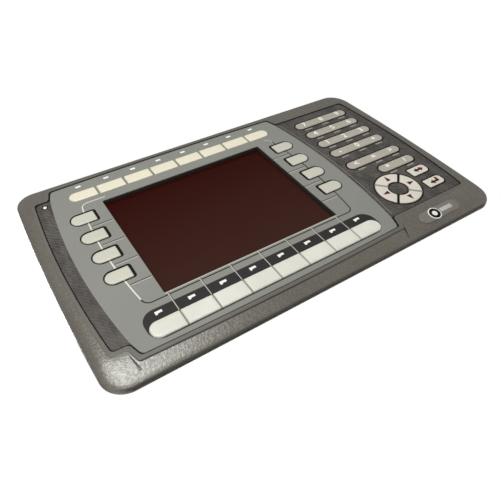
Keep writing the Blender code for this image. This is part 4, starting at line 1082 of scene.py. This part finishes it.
def make_badge():
    """A blank pill with a plain ring and a strip, lying on the slope of the frame's lower band."""
    x, z = BADGE_PLACE
    height = BADGE_HALF[1]
    edge = ((0, 1.2), (0, -0.12), (-0.2, -0.28), (-0.5, -0.34))
    plate = [(even_rect((0, 0), BADGE_HALF, height - 0.1, grow), y) for grow, y in edge]
    disc = [(circle(DISC_PLACE, radius, 48), y) for radius, y in ((4.6, 0), (4.6, -0.46), (4.45, -0.54))]
    edge = ((0, 0), (0, -0.4), (-0.1, -0.46))
    blank = [(even_rect((6.0, 0.2), (5.2, 1.5), 0.5, grow), y) for grow, y in edge]
    ring = [circle(DISC_PLACE, radius, 48) for radius in (3.9, 1.9)]
    pieces = (
        ("badge_plate", loft(plate), "badge"),
        ("badge_disc", loft(disc), "digit"),
        ("badge_blank", loft(blank), "pale"),
        ("badge_ring", sheet(ring, -0.58, -0.4), "black"),
    )
    upper = frame_depth(x, z + height)
    lower = frame_depth(x, z - height)
    rise = min((upper + lower) / 2, frame_depth(x, z)) - 0.1
    lean = Matrix.Rotation(math.atan2(lower - upper, 2 * height), 4, "X")
    for name, mesh, material in pieces:
        mesh.transform(Matrix.Translation(Vector((x, rise, z)) * MM) @ lean)
        add_piece(name, mesh, material)


make_badge()


# Rear

COVER_LOW, COVER_HIGH = node_box("rear_cover")
COVER_BACK = node_box("service_door")[0].y - 0.3
BACKWARDS = (0, 1, 0)
THREAD_PITCH = 0.7
THREAD_DEPTH = 0.34
POLE_PITCH = 5.08
# CAD nodes that stay, with their material and the width of their softened edges.
CARRIED = {
    "lcd_panel": ("steel", 0.4),
    "keypad_board": ("board", 0.15),
    "support_plate": ("plate_steel", 0.2),
    "panel_gasket": ("rubber", 0.5),
    "rear_tray": ("tray", 0.5),
    "rear_cover": ("cover", 0.5),
    "main_board": ("board", 0.2),
    "power_header": ("socket", 0.25),
    "power_plug": ("terminal", 0.3),
    "serial_port": ("steel", 0.25),
    "network_port": ("steel", 0.3),
    "service_door": ("cover", 0.35),
}
CARRIED |= {f"clamp_{number}": ("steel", 0.5) for number in range(1, 5)}


def dress_nodes():
    for node, (material, width) in CARRIED.items():
        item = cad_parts[node]
        item.data.materials.clear()
        item.data.materials.append(MATERIALS[material])
        bevel = item.modifiers.new("edges", "BEVEL")
        bevel.width = width * MM
        bevel.segments = 2
        bevel.limit_method = "ANGLE"
        bevel.angle_limit = math.radians(35)


def screw_head(x, z, radius, height):
    """A pan head on its washer with a cross recess, standing on the cover's back."""
    profile = [(-0.2, radius * 1.3), (0.3, radius * 1.3), (0.42, radius * 1.22), (0.42, radius)]
    profile += [(height * share, radius * part) for share, part in ((0.6, 0.98), (0.85, 0.8), (1, 0.45))]
    arm = radius * 0.6
    slim = radius * 0.15
    floor = COVER_BACK + height * 0.45
    top = COVER_BACK + height + 1
    recess = [
        box_mesh((x - reach_x, floor, z - reach_z), (x + reach_x, top, z + reach_z))
        for reach_x, reach_z in ((arm, slim), (slim, arm))
    ]
    return cut(turned(profile, (x, COVER_BACK, z), BACKWARDS), recess)


def thread(start, end, radius):
    """Profile of a threaded length as crests and roots."""
    profile = []
    along = start
    while along < end - THREAD_PITCH:
        profile.append((along, radius - THREAD_DEPTH))
        profile.append((along + 0.4 * THREAD_PITCH, radius))
        profile.append((along + 0.6 * THREAD_PITCH, radius))
        along += THREAD_PITCH
    return profile + [(along, radius - THREAD_DEPTH)]


def make_cover_screws():
    inset = 7.5
    columns = (COVER_LOW.x + inset, (COVER_LOW.x + COVER_HIGH.x) / 2, COVER_HIGH.x - inset)
    rows = (COVER_LOW.z + inset, COVER_HIGH.z - inset)
    heads = [screw_head(x, z, 2.6, 1.8) for x in columns for z in rows]
    add_piece("cover_screws", merged(heads), "screw_steel")


def make_rating_plate():
    """A foil label with printed rules and empty fields."""
    x, z = (-52, -22)
    face = COVER_BACK + 0.2
    border = [even_rect((x, z), (36.4, 15.4), 1.2), even_rect((x, z), (36.0, 15.0), 0.8)]
    rules = [ribbon([(x - 13, z - 13), (x - 13, z + 13)], 0.4)]
    for row, share in enumerate((0.8, 0.45, 0.65, 0.5)):
        height = z + 12 - 6 * row
        rules.append(ribbon([(x + 33 - 40 * share, height), (x + 33, height)], 1.6))
        rules.append(ribbon([(x - 10, height - 3), (x + 34, height - 3)], 0.4))
    rules.append(ribbon([(x - 32, z + 6), (x - 17, z + 6)], 5))
    add_piece("rating_plate", sheet([even_rect((x, z), (38, 17), 2)], COVER_BACK - 0.1, face), "rating")
    add_piece("rating_border", sheet(border, face - 0.05, face + 0.04), "black")
    add_piece("rating_rules", sheet(rules, face - 0.05, face + 0.04), "black")


def make_door_grip():
    low = node_box("service_door")[0]
    x = middle("service_door").x
    face = low.y + 1.6
    levels = [low.z + 2.4 + 1.7 * index for index in range(4)]
    ribs = [box_mesh((x - 7, face - 0.3, z - 0.4), (x + 7, face + 0.5, z + 0.4), 0.25) for z in levels]
    add_piece("door_grip", merged(ribs), "cover", "service_door")


def make_clamp_screws():
    """Slotted screws with a turned tip and a thread, one on each clamp."""
    for number in range(1, 5):
        name = f"clamp_screw_{number}"
        low, high = node_box(name)
        x, _, z = middle(name)
        radius = (high.x - low.x) / 2
        length = high.y - low.y
        profile = [(0, radius * 0.58), (1.0, radius * 0.6), (1.3, radius - THREAD_DEPTH - 0.02)]
        profile += thread(1.5, length - 0.6, radius)
        profile += [(length - 0.4, radius), (length, radius - 0.3)]
        slot = box_mesh((x - 3, high.y - 1.4, z - 0.35), (x + 3, high.y + 1, z + 0.35))
        screw = cut(turned(profile, (x, low.y, z), BACKWARDS), [slot])
        add_piece(f"clamp_thread_{number}", screw, "screw_steel", name, name)


def make_plug_screws():
    """Slotted wire screws in the back of the power plug."""
    low, high = node_box("power_plug")
    z = low.z + 3.6
    heads = []
    for pole in (-1, 0, 1):
        x = middle("power_plug").x + POLE_PITCH * pole
        profile = [(-0.2, 1.75), (0.25, 1.75), (0.4, 1.6), (0.4, 0.5)]
        slot = box_mesh((x - 2, high.y + 0.1, z - 0.25), (x + 2, high.y + 1, z + 0.25))
        heads.append(cut(turned(profile, (x, high.y, z), BACKWARDS, 28), [slot]))
    add_piece("plug_screws", merged(heads), "screw_steel", "power_plug")


def make_contacts():
    """Spring contacts in the network socket, and the serial connector's face with its nine holes."""
    low = node_box("network_port")[0]
    centre = middle("network_port")
    wall = centre.y + 4.2
    strips = []
    for index in range(8):
        x = centre.x + 1.02 * (index - 3.5)
        strips.append(box_mesh((x - 0.25, wall - 0.6, low.z + 1), (x + 0.25, wall + 0.1, low.z + 9), 0.08))
    add_piece("network_contacts", merged(strips), "brass")
    low = node_box("serial_port")[0]
    x, y, _ = middle("serial_port")
    half_x, half_y = 7.6, 3.3
    lean = half_y * math.tan(math.radians(10))
    upper = [(x + half_x - lean, y + half_y), (x - half_x + lean, y + half_y)]
    loops = [upper + [(x - half_x - lean, y - half_y), (x + half_x + lean, y - half_y)]]
    for row, count in ((-1.4, 5), (1.4, 4)):
        for index in range(count):
            loops.append(circle((x + 2.76 * (index - (count - 1) / 2), y + row), 0.62, 16))
    face = sheet(loops, -low.z - 0.1, -low.z + 0.12)
    face.transform(Matrix.Rotation(-QUARTER_TURN, 4, "X"))
    add_piece("serial_face", face, "socket")


def make_earth_stud():
    """Threaded stud with a washer and a nut under the cover."""
    base = (92, 32, COVER_LOW.z + 0.2)
    down = (0, 0, -1)
    stud = turned([(0, 1.9)] + thread(0.4, 7.4, 2.0) + [(7.6, 1.2)], base, down)
    washer = turned([(0, 4.4), (0.7, 4.4), (0.9, 4.2), (0.9, 2.2)], base, down, 40)
    nut = turned([(0.9, 3.4), (1.2, 3.9), (3.4, 3.9), (3.8, 3.4)], base, down, 6)
    add_piece("earth_stud", merged([stud, washer, nut]), "screw_steel")


dress_nodes()
make_cover_screws()
make_rating_plate()
make_door_grip()
make_clamp_screws()
make_plug_screws()
make_contacts()
make_earth_stud()


# Light, floor and camera. Places are in metres, from the film's middle.

SURROUNDINGS_LIGHT = (0.27, 0.27, 0.266, 1)
SURROUNDINGS_SEEN = (1, 1, 1, 1)
FLOOR_FADE = (0.15, 0.5)
FLOOR_RADIUS = 3.0
FLOOR_DROP = 0.0005
CAMERA_PLACE = (-0.14451, -0.20973, -0.20867)
CAMERA_BACK = (-0.39384, -0.70976, -0.58407)
CAMERA_UP = (0.37709, -0.70425, 0.60153)


def area_light(name, place, target, size, power, colour=(1, 1, 1)):
    data = bpy.data.lights.new(name, "AREA")
    data.shape = "DISK"
    data.size = size
    data.energy = power
    data.color = colour
    item = linked(name, data)
    item.location = Vector(place) + FILM_MIDDLE
    item.rotation_euler = (Vector(target) - Vector(place)).to_track_quat("-Z", "Y").to_euler()


def make_world():
    """Even grey light from all round. The camera sees it as white."""
    world = bpy.data.worlds.new("studio")
    bpy.context.scene.world = world
    world.use_nodes = True
    tree = world.node_tree
    path = tree.nodes.new("ShaderNodeLightPath")
    mix = tree.nodes.new("ShaderNodeMix")
    mix.data_type = "RGBA"
    mix.inputs["A"].default_value = SURROUNDINGS_LIGHT
    mix.inputs["B"].default_value = SURROUNDINGS_SEEN
    tree.links.new(path.outputs["Is Camera Ray"], mix.inputs["Factor"])
    tree.links.new(mix.outputs["Result"], tree.nodes["Background"].inputs["Color"])


def make_floor():
    """Pale floor under the panel, clear when seen from below and far from the panel."""
    shader = Shader("floor_paper")
    fine = shader.noise(300, 3)
    colour = shader.mix(fine, (0.86, 0.86, 0.86), (0.9, 0.9, 0.9))
    shader.finish(colour, 0.9, shader.bump(fine, 0.00005), specular=0.1)
    distance = shader.node("ShaderNodeVectorMath", {0: shader.place}, operation="LENGTH").outputs["Value"]
    below = shader.node("ShaderNodeNewGeometry").outputs["Backfacing"]
    gone = shader.math("MAXIMUM", shader.ramp(distance, *FLOOR_FADE), below)
    clear = shader.node("ShaderNodeBsdfTransparent").outputs["BSDF"]
    mix = shader.node("ShaderNodeMixShader", {"Fac": gone, 1: shader.surface.outputs["BSDF"], 2: clear})
    shader.feed(shader.tree.nodes["Material Output"].inputs["Surface"], mix.outputs["Shader"])
    shape = bmesh.new()
    bmesh.ops.create_circle(shape, cap_ends=True, segments=96, radius=FLOOR_RADIUS)
    mesh = bpy.data.meshes.new("floor")
    shape.to_mesh(mesh)
    shape.free()
    mesh.materials.append(shader.material)
    floor = linked("floor", mesh)
    floor.location.z = CAD_BOX[0].z - FLOOR_DROP
    floor.visible_shadow = False


def make_camera():
    """Camera low at the panel's left, rolled so that the panel lies across the picture."""
    data = bpy.data.cameras.new("camera")
    data.lens = 35.212
    data.clip_start = 0.01
    camera = linked("camera", data)
    back = Vector(CAMERA_BACK).normalized()
    right = Vector(CAMERA_UP).cross(back).normalized()
    turn = Matrix((right, back.cross(right), back)).transposed().to_4x4()
    camera.matrix_world = Matrix.Translation(Vector(CAMERA_PLACE) + FILM_MIDDLE) @ turn
    bpy.context.scene.camera = camera


make_world()
make_floor()
make_camera()
area_light("key_light", (-0.14, -0.62, 0.06), (-0.04, 0, -0.03), 0.36, 3.0, (0.98, 1, 0.95))
area_light("back_light", (0.35, 0.8, 0.5), (0, 0.03, 0), 0.6, 7.0)
area_light("top_light", (-0.35, 0.55, 0.75), (0, 0, 0), 0.6, 5.0)
bpy.context.scene.view_settings.view_transform = "Standard"
